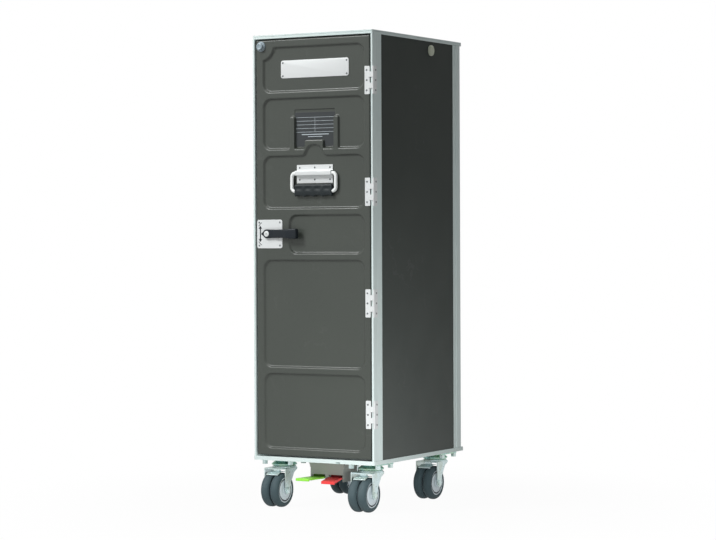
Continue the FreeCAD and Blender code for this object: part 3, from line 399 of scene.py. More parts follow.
def colour_drift_group():
    """Slow change of tone: colour mixed towards a second tint where a soft noise is high."""
    tree, start, end = new_group("Colour drift", [
        ("Colour", COLOUR, None), ("Tint", COLOUR, None), ("Scale", NUMBER, 6.0), ("Amount", NUMBER, 0.3)],
        [("Colour", COLOUR)])
    spread = clouds(tree, start, (-650, 100), (0.35, 0.68), softly=True, Detail=4.0, Roughness=0.55)
    share = maths(tree, "MULTIPLY", (-200, 100))
    blend = put(tree, "Mix", (0, 0), {"data_type": "RGBA"})
    wire(tree, (spread, "Result", share, 0), (start, "Amount", share, 1), (share, 0, blend, 0),
         (start, "Colour", blend, MIX_UNDER), (start, "Tint", blend, MIX_OVER), (blend, MIX_OUT, end, "Colour"))
    return tree


def fine_grain_group():
    """Fine height of a rolled, brushed or moulded surface: noise on stretched coordinates with a share of specks."""
    tree, start, end = new_group("Fine grain", [
        ("Stretch", VECTOR, (1.0, 1.0, 1.0)), ("Scale", NUMBER, 400.0), ("Specks", NUMBER, 0.2)],
        [("Height", NUMBER), ("Tone", NUMBER)])
    pulled = put(tree, "VectorMath", (-700, 0), {"operation": "MULTIPLY"})
    weave = put(tree, "TexNoise", (-480, 100), None, Detail=3.0, Roughness=0.6)
    speck = put(tree, "TexVoronoi", (-480, -160), {"feature": "SMOOTH_F1"}, Randomness=1.0)
    part, both = maths(tree, "MULTIPLY", (-250, -100)), maths(tree, "ADD", (-50, 0))
    wire(tree, (start, "Vector", pulled, 0), (start, "Stretch", pulled, 1), (pulled, 0, weave, "Vector"),
         (pulled, 0, speck, "Vector"), (start, "Scale", weave, "Scale"), (start, "Scale", speck, "Scale"),
         (speck, "Distance", part, 0), (start, "Specks", part, 1), (weave, "Fac", both, 0), (part, 0, both, 1),
         (both, 0, end, "Height"), (weave, "Fac", end, "Tone"))
    return tree


def edge_wear_group():
    """Mask of rubbed edges: where the normal rounded over a small radius leaves the true one, broken up by noise."""
    tree, start, end = new_group("Edge wear", [("Radius", NUMBER, 0.0012), ("Amount", NUMBER, 0.5)],
                                 [("Mask", NUMBER)])
    rounded = put(tree, "Bevel", (-700, 160), {"samples": 3})
    true = put(tree, "NewGeometry", (-700, -60))
    match = put(tree, "VectorMath", (-480, 100), {"operation": "DOT_PRODUCT"})
    edge = put(tree, "MapRange", (-280, 100), None, From_Min=0.995, From_Max=0.86)
    wire(tree, (start, "Radius", rounded, "Radius"), (rounded, "Normal", match, 0), (true, "Normal", match, 1),
         (match, "Value", edge, "Value"))
    broken = clouds(tree, start, (-480, -160), (0.38, 0.62), scale=90.0, Detail=4.0)
    return mask_out(tree, start, end, edge, broken=broken)


def scuffs_group():
    """Mask of light handling marks: thin bands of a distorted wave kept only where a soft noise is high."""
    tree, start, end = new_group("Handling scuffs", [("Scale", NUMBER, 9.0), ("Amount", NUMBER, 0.3)],
                                 [("Mask", NUMBER)])
    wave = put(tree, "TexWave", (-650, 120), {"bands_direction": "DIAGONAL"},
               Distortion=14.0, Detail=4.0, Detail_Scale=2.0)
    thin = put(tree, "MapRange", (-430, 120), None, From_Min=0.93, From_Max=1.0)
    wire(tree, (start, "Vector", wave, "Vector"), (start, "Scale", wave, "Scale"), (wave, "Fac", thin, "Value"))
    here = clouds(tree, start, (-650, -160), (0.52, 0.7), Detail=3.0)
    return mask_out(tree, start, end, thin, broken=here)


def painted_bounce_group():
    """Mask of painted light low on the sides, paler towards the floor as if lit by light bounced off it, broken up by
    noise.

    It is s^1.4 with s falling evenly from 1 at the floor to 0 at the top height.
    """
    tree, start, end = new_group("Low bloom", [("Top", NUMBER, 0.25), ("Amount", NUMBER, 0.1)], [("Mask", NUMBER)])
    parts = put(tree, "SeparateXYZ", (-650, 120))
    height = put(tree, "MapRange", (-430, 120), None, From_Min=-0.5, To_Min=1.0, To_Max=0.0)
    curve = maths(tree, "POWER", (-230, 120))
    curve.inputs[1].default_value = 1.4
    wire(tree, (start, "Vector", parts, 0), (parts, "Z", height, "Value"), (start, "Top", height, "From Max"),
         (height, "Result", curve, 0))
    uneven = clouds(tree, start, (-650, -160), (0.3, 0.7), (0.75, 1.1), scale=7.0, Detail=4.0)
    return mask_out(tree, start, end, curve, 0, uneven)


def painted_inner_shade_group():
    """Mask of painted shade on what lies inside the housing: 0 before the start depth, 1 a little behind it."""
    tree, start, end = new_group("Inner grime", [("Start", NUMBER, 0.0), ("Amount", NUMBER, 0.9)], [("Mask", NUMBER)])
    parts = put(tree, "SeparateXYZ", (-650, 60))
    depth, ragged = maths(tree, "SUBTRACT", (-430, 60)), maths(tree, "ADD", (-230, 0))
    inside = put(tree, "MapRange", (-60, 0), None, From_Min=-0.001, From_Max=0.002)
    uneven = clouds(tree, start, (-650, -160), (0.3, 0.7), (-0.001, 0.001), scale=160.0, Detail=3.0)
    wire(tree, (start, "Vector", parts, 0), (parts, "Y", depth, 0), (start, "Start", depth, 1), (depth, 0, ragged, 0),
         (uneven, "Result", ragged, 1), (ragged, 0, inside, "Value"))
    return mask_out(tree, start, end, inside)


# ---- finishes
slot_of = {name: node.data.materials[0].name.split(".")[0] for name, node in frame["nodes"].items()}
groups, finishes = {}, {}
GROUP_MAKERS = {"drift": colour_drift_group, "grain": fine_grain_group, "wear": edge_wear_group,
                "scuffs": scuffs_group, "bloom": painted_bounce_group, "grime": painted_inner_shade_group}

# base is a setting's name or a colour, tint what it drifts to, scale, depth (in metres), specks and stretch belong
# to the grain, drift, wear, scuffs and the painted floor-bounce light low on the sides are amounts, and gloss is the
# share of mirror gloss
Recipe = namedtuple(
    "Recipe", "label base tint rough scale depth specks drift wear scuffs metal stretch gloss drift_scale bloom",
    defaults=(0.0, (1, 1, 1), 0.5, 6.0, 0.0))

RECIPES = {
    "door_grey": Recipe(
        "Grey lacquered sheet", "door", (1.16, 1.15, 1.13), 0.31, 520, 6e-5, 0.5, 0.3, 0.16, 0.05, gloss=0.42),
    # its paler lower part is painted light, standing in for light bounced off the floor
    "dark_panel": Recipe(
        "Dark laminate panel", "panels", (1.22, 1.2, 1.18), 0.46, 700, 5e-5, 0.6, 0.35, 0.12, 0.05, gloss=0.03,
        bloom=0.11),
    "anodised_frame": Recipe(
        "Satin anodised aluminium", "frame", (0.92, 0.96, 0.97), 0.46, 1500, 3e-5, 0.0, 0.45, 0.1, 0.06, metal=0.05,
        stretch=(1, 1, 0.02), gloss=0.38),
    "worktop_aluminium": Recipe(
        "Brushed aluminium sheet", (0.54, 0.56, 0.56), (0.92, 0.94, 0.95), 0.42, 1400, 4e-5, 0.0, 0.4, 0.2, 0.12,
        metal=0.45, stretch=(1, 0.02, 1)),
    "door_inner": Recipe(
        "Pale moulded liner", (0.42, 0.44, 0.44), (1.1, 1.1, 1.08), 0.55, 600, 6e-5, 0.7, 0.3, 0.1, 0.1),
    "seal_rubber": Recipe(
        "Black sealing rubber", (0.028, 0.03, 0.031), (1.5, 1.5, 1.5), 0.72, 900, 8e-5, 0.8, 0.3, 0.2, 0.0, gloss=0.25),
    "plate_steel": Recipe(
        "Satin steel", "plates", (0.9, 0.92, 0.93), 0.38, 1600, 3e-5, 0.0, 0.35, 0.12, 0.08, metal=0.1,
        stretch=(0.03, 1, 1)),
    "rivet_steel": Recipe(
        "Dull rivet steel", (0.15, 0.165, 0.17), (0.8, 0.82, 0.84), 0.4, 900, 4e-5, 0.4, 0.5, 0.3, 0.05, metal=0.35),
    "holder_plastic": Recipe(
        "Dark holder plastic", (0.085, 0.09, 0.088), (1.3, 1.3, 1.3), 0.5, 900, 5e-5, 0.6, 0.3, 0.2, 0.0, gloss=0.25),
    "card_dark": Recipe(
        "Dark printed card", (0.042, 0.047, 0.05), (1.25, 1.25, 1.22), 0.48, 1500, 2e-5, 0.3, 0.4, 0.0, 0.06,
        gloss=0.2),
    "stud_grey": Recipe(
        "Blue-grey moulded stud", (0.265, 0.335, 0.375), (1.35, 1.3, 1.25), 0.34, 700, 5e-5, 0.5, 0.3, 0.5, 0.05),
    "disc_beige": Recipe(
        "Beige moulded disc", (0.56, 0.6, 0.48), (1.2, 1.18, 1.12), 0.5, 700, 6e-5, 0.6, 0.4, 0.3, 0.1),
    "lever_black": Recipe(
        "Black moulded lever", (0.009, 0.013, 0.017), (1.7, 1.7, 1.7), 0.38, 900, 6e-5, 0.7, 0.3, 0.4, 0.06,
        gloss=0.22),
    "bail_white": Recipe(
        "White coated bar", (0.88, 0.91, 0.9), (0.9, 0.93, 0.94), 0.34, 800, 3e-5, 0.3, 0.3, 0.1, 0.05),
    "grip_rubber": Recipe(
        "Black rubber grip", (0.014, 0.019, 0.021), (1.6, 1.6, 1.6), 0.44, 1100, 9e-5, 0.9, 0.3, 0.2, 0.04, gloss=0.22),
    "housing_grey": Recipe(
        "Grey coated sheet", (0.29, 0.31, 0.285), (1.2, 1.18, 1.15), 0.5, 600, 6e-5, 0.5, 0.45, 0.35, 0.12),
    "pedal_green": Recipe("Green coated pedal", "green_pedal", (0.82, 0.9, 0.8), 0.42, 700, 6e-5, 0.5, 0.3, 0.3, 0.08),
    "pedal_red": Recipe("Red coated pedal", "red_pedal", (0.85, 0.8, 0.8), 0.42, 700, 6e-5, 0.5, 0.3, 0.3, 0.08),
    "zinc_steel": Recipe(
        "Zinc plated steel", "zinc", (1.5, 1.2, 0.9), 0.27, 260, 5e-5, 0.4, 0.8, 0.2, 0.06, metal=0.8,
        drift_scale=60.0),
    # zinc plating with its colour lifted to the brightness of its lit side: partly painted light
    "fork_zinc": Recipe(
        "Pale zinc plated steel", (0.66, 0.8, 0.82), (0.78, 0.72, 0.58), 0.3, 260, 5e-5, 0.4, 0.6, 0.2, 0.06,
        metal=0.55, drift_scale=42.0),
    "rim_grey": Recipe(
        "Pale grey wheel rim", (0.62, 0.7, 0.74), (0.86, 0.9, 0.92), 0.38, 700, 4e-5, 0.5, 0.35, 0.2, 0.08,
        metal=0.12, drift_scale=30.0),
    "tyre_grey": Recipe(
        "Grey tyre rubber", "tyres", (1.45, 1.36, 1.3), 0.6, 900, 8e-5, 0.8, 0.5, 0.2, 0.08, gloss=0.2,
        drift_scale=28.0),
}


def effect(tree, key, at, vector, **values):
    """An effect's group, built once, placed in a material with its own values and its pattern's coordinates."""
    if key not in groups:
        groups[key] = GROUP_MAKERS[key]()
    placed = put(tree, "Group", at, {"node_tree": groups[key]}, **values)
    wire(tree, (vector, "Vector", placed, "Vector"))
    return placed


def finish(slot):
    """Material of one slot: drifting colour, rubbed edges, scuffs, and a fine grain in roughness and bump."""
    if slot in finishes:
        return finishes[slot]
    recipe = RECIPES[slot]
    base = recipe.base
    if isinstance(base, str):
        base = tuple(getattr(bpy.context.scene.cart_colours, base))
    second = tuple(min(1.0, a * b) for a, b in zip(base, recipe.tint))
    worn = tuple(min(1.0, 0.55 * a + 0.30) for a in base)
    made = bpy.data.materials.new(recipe.label)
    made.diffuse_color = (*base, 1.0)
    tree = emptied_tree(made)
    place = put(tree, "TexCoord", (-1300, 0))
    centred = put(tree, "Mapping", (-1100, 0), None, Location=(0.0, 0.0, -0.5))
    wire(tree, (place, "Object", centred, "Vector"))

    layers = [("wear", worn, {"Amount": recipe.wear}), ("scuffs", worn, {"Amount": recipe.scuffs})]
    # painted light: a paler colour low on the sides, standing in for light bounced off the floor
    if recipe.bloom:
        layers.append(("bloom", (0.66, 0.70, 0.68), {"Amount": recipe.bloom}))
    # painted shade: the pedals turn nearly black where they go into the housing
    if slot in ("pedal_green", "pedal_red"):
        inside = {"Start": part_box("brake_housing")[0].y, "Amount": 0.93}
        layers.append(("grime", tuple(0.08 * c for c in base), inside))
    shown, out = effect(tree, "drift", (-850, 300), centred, Colour=(*base, 1.0), Tint=(*second, 1.0),
                        Amount=recipe.drift, Scale=recipe.drift_scale), "Colour"
    for step, (key, over, values) in enumerate(layers):
        mask = effect(tree, key, (-850, 100 - 170 * step), centred, **values)
        mixed = put(tree, "Mix", (-600 + 190 * step, 300), {"data_type": "RGBA"})
        mixed.inputs[MIX_OVER].default_value = (*over, 1.0)
        wire(tree, (mask, "Mask", mixed, 0), (shown, out, mixed, MIX_UNDER))
        shown, out = mixed, MIX_OUT

    grain = effect(tree, "grain", (-850, -600), centred, Stretch=recipe.stretch, Scale=recipe.scale,
                   Specks=recipe.specks)
    uneven = put(tree, "MapRange", (-550, -450), None, From_Min=0.3, From_Max=0.7,
                 To_Min=recipe.rough - 0.05, To_Max=recipe.rough + 0.07)
    bump = put(tree, "Bump", (-330, -650), None, Strength=0.6, Distance=recipe.depth)
    shader = put(tree, "BsdfPrincipled", (200, 0), None, Metallic=recipe.metal,
                 Specular_IOR_Level=recipe.gloss)
    surface_out = put(tree, "OutputMaterial", (500, 0))
    wire(tree, (grain, "Tone", uneven, "Value"), (grain, "Height", bump, "Height"), (shown, out, shader, "Base Color"),
         (uneven, "Result", shader, "Roughness"), (bump, "Normal", shader, "Normal"),
         (shader, "BSDF", surface_out, "Surface"))
    finishes[slot] = made
    return made


# ---- the door
def rounded_distance(x, z, left, right, bottom, top, radius):
    """Distance to a rounded rectangle: q = |p − centre| − half sides + r, then |max(q, 0)| + min(max(q), 0) − r."""
    qx = np.abs(x - (left + right) / 2) - (right - left) / 2 + radius
    qz = np.abs(z - (bottom + top) / 2) - (top - bottom) / 2 + radius
    return np.hypot(np.maximum(qx, 0), np.maximum(qz, 0)) + np.minimum(np.maximum(qx, qz), 0) - radius


def soft_least(a, b, width):
    """The lesser of a and b, with the crease between them rounded over the width: min(a, b) − h²·width/4."""
    h = np.maximum(width - np.abs(a - b), 0) / width
    return np.minimum(a, b) - h * h * width / 4


def door_depth(x, z, shoulder, deep):
    """Depth of the door's face in millimetres: each field sinks by smooth_step(−distance/shoulder) of its depth.

    A round land stays at the stud, two bars and a lip stay in the card's field, its pocket goes 2 mm deeper, and
    the field of the handle rises in a finger bump whose half width shrinks from 27 at its foot to 15 at its top.
    """
    left, right, r = -126.5, 130.0, 20.0
    land = smooth_step((np.hypot(x - STUD_X, z - STUD_Z) - 29.0) / 4.0)
    top = smooth_step(-rounded_distance(x, z, left, right, 903.5, 1004.0, r) / shoulder) * land
    card = smooth_step(-rounded_distance(x, z, left, right, 778.9, 892.5, r) / shoulder)
    for bar in ((-59.0, -43.5, 767.9, 851.9, 5.0), (50.5, 66.0, 767.9, 851.9, 5.0), (-21.5, 28.5, 767.9, 800.9, 4.0)):
        card = card * smooth_step(rounded_distance(x, z, *bar) / 2.6 + 1.0)
    pocket = smooth_step(-rounded_distance(x, z, -48.0, 55.0, 782.9, 866.4, 3.0) / 1.4)
    side = (np.abs(x - 3.5) - 27.0 + 0.515 * (z - 767.9)) * 0.889
    bump = np.maximum(-soft_least(-side, -(z - 791.2), 11.0), 760.0 - z)
    handle = soft_least(rounded_distance(x, z, left, right, 650.7, 767.9, r), bump, 7.0)
    fields = [top, card, smooth_step(-handle / shoulder)]
    for start, bottom, top_edge in ((-61.5, 553.2, 639.7), (left, 306.5, 542.2), (left, 129.6, 295.5)):
        fields.append(smooth_step(-rounded_distance(x, z, start, right, bottom, top_edge, r) / shoulder))
    return deep * np.maximum.reduce(fields) + 2.0 * pocket * card


def formed_door_skin(shape):
    """Closed shell of the door skin: its face is a height field y(x, z), its rim a quarter round, its back flat.

    A block of cells round the latch spindle is left out, and a tube of the same count of points goes through.
    """
    back, half, low, high = -186.25, 143.0, 116.0, 1018.5
    block, bore = 8.0, 5.4  # half side of the cells left out and radius of the tube through them
    x = spaced([(-half, -140.5, 0.5), (-140.5, -100, 1.5), (-100, -66, 4), (-66, 72, 1.25), (72, 105, 4),
                (105, 140.5, 1.5), (140.5, half, 0.5)])
    z = spaced([(low, 118.5, 0.5), (118.5, 152, 1.4), (152, 273, 6), (273, 329, 1.4), (329, 520, 6), (520, 576, 1.4),
                (576, 617, 1.6), (617, 673, 1.4), (673, 745, 5), (745, 870, 1.25), (870, 926, 1.4), (926, 965, 5),
                (965, 1016, 1.4), (1016, high, 0.5)])
    flat_x, flat_z = np.meshgrid(x, z)
    rim = shape.skin_round / MM
    inward = np.minimum.reduce([flat_x + half, half - flat_x, flat_z - low, high - flat_z])
    fall = rim - np.sqrt(np.maximum(rim ** 2 - np.maximum(rim - inward, 0) ** 2, 0))
    depth = door_depth(flat_x, flat_z, shape.shoulder / MM, shape.field_depth / MM)
    points, cells = surface(np.stack([flat_x, DOOR_FACE + depth + fall, flat_z], axis=-1))
    columns, rows = len(x), len(z)
    c0, c1 = np.searchsorted(x, [LATCH_X - block, LATCH_X + block])
    r0, r1 = np.searchsorted(z, [LATCH_Z - block, LATCH_Z + block])
    cells = np.asarray(cells)
    row, column = cells[:, 0] // columns, cells[:, 0] % columns
    cells = cells[~((row >= r0) & (row < r1) & (column >= c0) & (column < c1))]

    def loop(a0, a1, b0, b1):
        """Indices of the grid's points round a block, anticlockwise from its lower left corner."""
        return np.concatenate([b0 * columns + np.arange(a0, a1), np.arange(b0, b1) * columns + a1,
                               b1 * columns + np.arange(a1, a0, -1), np.arange(b1, b0, -1) * columns + a0])

    hole, border = loop(c0, c1, r0, r1), loop(0, columns - 1, 0, rows - 1)
    centre = np.array([LATCH_X, LATCH_Z])
    around = points[hole][:, [0, 2]] - centre
    around = centre + around * (bore / np.linalg.norm(around, axis=1))[:, None]
    tube = [np.column_stack([around[:, 0], np.full(len(hole), y), around[:, 1]]) for y in (DOOR_FACE, back)]
    edge = points[border].copy()
    edge[:, 1] = back
    points = np.vstack([points, *tube, edge])
    n, m, first = len(hole), len(border), rows * columns
    near, far, rear = first + np.arange(n), first + n + np.arange(n), first + 2 * n + np.arange(m)
    joined = [np.stack([a, np.roll(a, -1), np.roll(b, -1), b], axis=-1)
              for a, b in ((hole, near), (near, far), (border[::-1], rear[::-1]))]
    faces = np.vstack([cells, *joined]).tolist()
    # the flat back is two faces, parted by a line from each side of the rim to the tube
    start, other = (int(np.argmin(np.abs(edge[:, 2] - LATCH_Z) + 1e3 * far_side))
                    for far_side in (edge[:, 0] > 0, edge[:, 0] < 0))
    west, east = int(np.argmin(tube[1][:, 0])), int(np.argmax(tube[1][:, 0]))

    def arc(ring, a, b):
        """Part of a ring from a forwards to b, both included."""
        return [int(ring[k % len(ring)]) for k in range(a, (b if b > a else b + len(ring)) + 1)]

    faces.append(arc(rear, start, other) + arc(far, west, east)[::-1])
    faces.append(arc(rear, other, start) + arc(far, east, west)[::-1])
    return points * MM, faces


class GALLEY_OT_door(bpy.types.Operator):
    """Makes the formed door skin and its stud, and finishes the liner and the seal"""
    bl_idname = "galley.door"
    bl_label = "Door"

    def execute(self, context):
        shape = context.scene.cart_shape
        make_piece("door_skin_formed", [formed_door_skin(shape)], "door", "door_grey", ["door_skin"], sharp=50.0)
        knob = [(0, 0), (11.0, 0), (11.0, 1.6), (10.5, 2.6), (8.6, 3.6), (7.9, 4.2), (7.6, 7.6), (7.0, 8.6),
                (5.6, 9.0), (5.0, 8.7), (0, 8.6)]
        make_piece("door_stud_turned", [turned(knob, (STUD_X, DOOR_FACE, STUD_Z), (0, -1, 0), shape.around)],
                   "door", "stud_grey", ["door_stud"])
        soften("door_liner", 0.0012)
        keep_node("door_seal")
        return {"FINISHED"}


class GALLEY_OT_plates(bpy.types.Operator):
    """Makes the bare name plate, the card with its ruling, and the rivets' finish"""
    bl_idname = "galley.plates"
    bl_label = "Name plate and card"

    def execute(self, context):
        name_plate = plate(rectangle(-81.4, 89.4, 934.7, 973.2, 5.0), FITTING_BACK, FITTING_FRONT, 0.45)
        make_piece("name_plate_rounded", [name_plate], "door", "plate_steel", ["name_plate"])
        lines = [(-43.0, 50.0, z - 0.25, z + 0.25) for z in (848.5, 840.6, 832.7, 824.8, 816.9)]
        lines += [(3.3, 3.7, 816.9, 848.5), (-30.0, 38.0, 811.0, 812.3), (-14.0, 22.0, 806.4, 807.4)]
        ruling = [box_shell(left, right, -189.56, -189.50, bottom, top) for left, right, bottom, top in lines]
        make_piece("card_ruling", ruling, "door", "rim_grey")
        keep_node("card", "card_holder")
        keep_node("door_fasteners", coat="rivet_steel")
        return {"FINISHED"}


class GALLEY_OT_latch(bpy.types.Operator):
    """Makes the latch plate with its turning arrow, the moulded lever and the spindle's cap"""
    bl_idname = "galley.latch"
    bl_label = "Latch"

    def execute(self, context):
        shape = context.scene.cart_shape
        soften("latch_plate", shape.sheet_round)
        make_piece("latch_arrow", turning_arrow(), "door", "lever_black")
        make_piece("latch_lever_moulded", [moulded_lever()], "latch", "lever_black", ["latch_lever"], sharp=60.0)
        soften("latch_cam", shape.sheet_round)
        soften("latch_strike", shape.sheet_round)
        bolt = [(0, 0.2), (4.6, 0.0), (5.6, 0.2), (6.2, 0.7), (6.2, 1.4), (5.0, 1.4), (5.0, 45.4), (8.0, 45.4),
                (8.0, 47.8), (7.4, 48.4), (0, 48.4)]
        make_piece("latch_spindle_turned", [turned(bolt, (LATCH_X, -204.6, LATCH_Z), (0, 1, 0), shape.around)],
                   "latch", "plate_steel", ["latch_spindle"])
        dot = [(0, -0.1), (1.5, -0.1), (1.7, 0.1), (1.7, 0.6), (0, 0.6)]
        make_piece("latch_cap_dot", [turned(dot, (LATCH_X, -204.45, LATCH_Z), (0, 1, 0), shape.around)],
                   "latch", "housing_grey")
        return {"FINISHED"}


def turning_arrow():
    """Upright double arrow beside the lever, with a wedge at its middle, and a thin short arc beyond each head."""
    def mark(loop):
        """Thin raised mark: a loop (x, height over the spindle) carried between two depths."""
        loop = np.asarray(loop, float)
        rows = [np.column_stack([loop[:, 0], np.full(len(loop), y), LATCH_Z + loop[:, 1]]) for y in (-196.75, -196.82)]
        return capped_tube(np.stack(rows))

    def band(inner, outer, start, end):
        """Flat ring sector about the spindle between two angles in degrees."""
        t = np.radians(np.linspace(start, end, 15))
        spokes = np.column_stack([np.cos(t), np.sin(t)])
        return mark(np.vstack([inner * spokes, outer * spokes[::-1]]) + (LATCH_X, 0.0))

    return [band(28.6, 30.0, 123.0, 145.0), band(28.6, 30.0, 215.0, 237.0),
            mark([(-134.1, -13), (-131.3, -13), (-131.3, 13), (-134.1, 13)]),
            mark([(-131.5, 0), (-121.5, 7.9), (-121.5, -7.9)]),
            *(mark([(-132.7, up * 18.2), (-137.0, up * 11.2), (-128.4, up * 11.2)]) for up in (1, -1))]


def moulded_lever():
    """Latch lever: a superellipse section carried along x, its half height, front and back read from stations.

    At station x the section is (x, middle(x) + half_depth(x)·cos, spindle height + half_height(x)·sin).
    """
    first, last = -123.4, -33.9
    x = np.concatenate([np.linspace(first, -112.0, 14), np.linspace(-110.5, -46.0, 34), np.linspace(-45.0, last, 14)])
    half = np.interp(x, [first, -122.9, -121.6, -119.6, -116.5, LATCH_X, -98.9, -78.9, -60, -52, -37.9, -35.2, last],
                     [0.6, 2.4, 5.2, 7.6, 9.3, 9.8, 9.3, 9.1, 9.6, 10.9, 11.3, 10.6, 8.6])
    front = np.interp(x, [first, -121, -96.9, -59.9, -36.5, last], [-202.4, -203.2, -203.25, -210.2, -210.2, -209.0])
    back = np.interp(x, [first, last], [-197.25, -197.6])
    round_ends = np.concatenate([[0.55, 0.9], np.ones(len(x) - 4), [0.93, 0.7]])
    across, up = superellipse(40, 5.5)
    middle, thick = (front + back) / 2, (back - front) / 2
    points = np.stack(np.broadcast_arrays(
        x[:, None], middle[:, None] + (thick * round_ends)[:, None] * across[None],
        LATCH_Z + (half * round_ends)[:, None] * up[None]), axis=-1)
    return capped_tube(points)


BAIL_Y, BAIL_Z = -195.65, 728.2  # axis of the bar's upper run, about which the handle folds


class GALLEY_OT_handle(bpy.types.Operator):
    """Makes the folding handle: its rolled plate, the bent bar and the dimpled grip"""
    bl_idname = "galley.handle"
    bl_label = "Folding handle"

    def execute(self, context):
        shape = context.scene.cart_shape
        make_piece("handle_plate_rolled", [rolled_plate()], "door", "plate_steel", ["handle_plate"])
        make_piece("handle_bail_bent", [bent_bail()], "handle", "bail_white", ["handle_bail"])
        make_piece("handle_grip_moulded", [moulded_grip(shape)], "handle", "grip_rubber", ["handle_grip"], sharp=60.0)
        return {"FINISHED"}


def rolled_plate():
    """Handle plate of one sheet rolled over the bar: a closed YZ profile carried along x.

    Inside it is a half circle about the bar's axis, outside a boxy half ring, the outer radius times
    (sgn(sin t)·|sin t|^0.34, sgn(cos t)·|cos t|^0.34), and flat leaves go up and down.
    """
    outer, inner = 5.35, 4.15
    t = np.radians(np.linspace(180, 360, 15))
    boxy = [np.sign(f) * np.abs(f) ** 0.34 for f in (np.sin(t), np.cos(t))]
    over = np.column_stack([BAIL_Y + outer * boxy[0], BAIL_Z + outer * boxy[1]])
    under = np.column_stack([BAIL_Y + inner * np.sin(t), BAIL_Z + inner * np.cos(t)])
    back, front, edge = FITTING_BACK, FITTING_FRONT, -191.1
    loop = np.vstack([[(back, 706.2), (edge, 706.2), (front, 706.6), (front, 720.4), (-191.9, 722.0),
                       (-193.3, 722.85)], over, [(-193.3, 733.55), (-191.9, 734.4), (front, 736.0), (front, 745.8),
                      (edge, 746.2), (back, 746.2), (back, 732.35)], under[::-1], [(back, 724.05)]])
    x = (-41.5, -41.2, -40.9, 48.1, 48.4, 48.7)
    return capped_tube(np.stack([np.column_stack([np.full(len(loop), s), loop]) for s in x]))


def bent_bail():
    """Round bar along a closed rounded rectangle: point p on the path carries the circle r(cos t·n + sin t·y)."""
    path, normals = rounded_outline(rectangle(-51.55, 58.85, 689.2, BAIL_Z, 8.2), steps=10)
    radius, t = 3.75, np.arange(24) * (2 * np.pi / 24)
    flat = path[:, None] + radius * np.cos(t)[None, :, None] * normals[:, None]
    depth = np.broadcast_to(BAIL_Y + radius * np.sin(t)[None], flat.shape[:2])
    points = np.stack([flat[..., 0], depth, flat[..., 1]], axis=-1)
    return surface(points * MM, wrap_rows=True, wrap_columns=True)


def moulded_grip(shape):
    """Rubber grip: a superellipse section carried along x, tapered at its ends.

    With w = 1 − (2u − 1)² over each quarter u of the length, four finger arcs raise its lower edge by 2.6·w, and
    a dimple above the bar inside it presses its front in by depth·w^1.5·|cos t|·exp(−((z − 695.4)/3)²).
    """
    s = np.concatenate([[0.0, 0.004, 0.012], np.linspace(0.022, 0.978, 97), [0.988, 0.996, 1.0]])
    x = -43.4 + 94.0 * s
    w = 1.0 - (2.0 * ((4.0 * s) % 1.0) - 1.0) ** 2
    ends = np.interp(s, [0, 0.004, 0.012, 0.022, 0.978, 0.988, 0.996, 1], [0.72, 0.88, 0.97, 1, 1, 0.97, 0.88, 0.72])
    across, up = superellipse(48, 3.4)
    low, high = 677.0 + 2.6 * w, 704.1
    z = ((low + high) / 2)[:, None] + ((high - low) / 2 * ends)[:, None] * up[None]
    y = -195.55 + (5.0 * ends)[:, None] * across[None]
    hollow = np.exp(-((z - 695.4) / 3.0) ** 2) * (w ** 1.5)[:, None] * (across < 0)[None] * np.abs(across)[None]
    y = y + shape.grip_dimple / MM * hollow
    return capped_tube(np.stack([np.broadcast_to(x[:, None], y.shape), y, z], axis=-1))


class GALLEY_OT_body(bpy.types.Operator):
    """Softens the posts, rails and top of the cart, and finishes its panels and inside"""
    bl_idname = "galley.body"
    bl_label = "Body"

    def execute(self, context):
        shape = context.scene.cart_shape
        for name in ("corner_posts_front", "corner_posts_rear", "top_rail", "base_rail"):
            soften(name, shape.extrusion_round)
        soften("top_panel", 0.0006)
        for name in ("hinge_post_leaves", "hinge_door_leaves"):
            soften(name, shape.sheet_round)
        disc = [(0, 0), (12.0, 0), (12.0, 2.4), (11.4, 3.3), (10.2, 3.9), (8.9, 4.0), (8.5, 3.3), (7.6, 3.0),
                (7.0, 3.3), (6.6, 3.9), (0, 4.0)]
        make_piece("hold_open_disc_turned", [turned(disc, (150.0, 64.05, 1002.5), (1, 0, 0), shape.around)],
                   "cart", "disc_beige", ["hold_open_disc"])
        keep_node("side_panel_right", "side_panel_left", "rear_panel", "floor_plate", "inner_walls", "tray_runners")
        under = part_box("base_rail")[0].z
        # the bolt heads under the base take the zinc painted as lit
        copied("frame_fasteners", "castor_bolt_heads", "fork_zinc", lambda centre: centre.z < under)
        copied("frame_fasteners", "frame_screw_heads", "rivet_steel", lambda centre: centre.z >= under)
        return {"FINISHED"}


class GALLEY_OT_brake(bpy.types.Operator):
    """Softens the brake housing and its two pedals"""
    bl_idname = "galley.brake"
    bl_label = "Brake"

    def execute(self, context):
        soften("brake_housing", 0.0008)
        soften("brake_pedal_green", 0.0009)
        soften("brake_pedal_red", 0.0009)
        keep_node("brake_shaft")
        return {"FINISHED"}


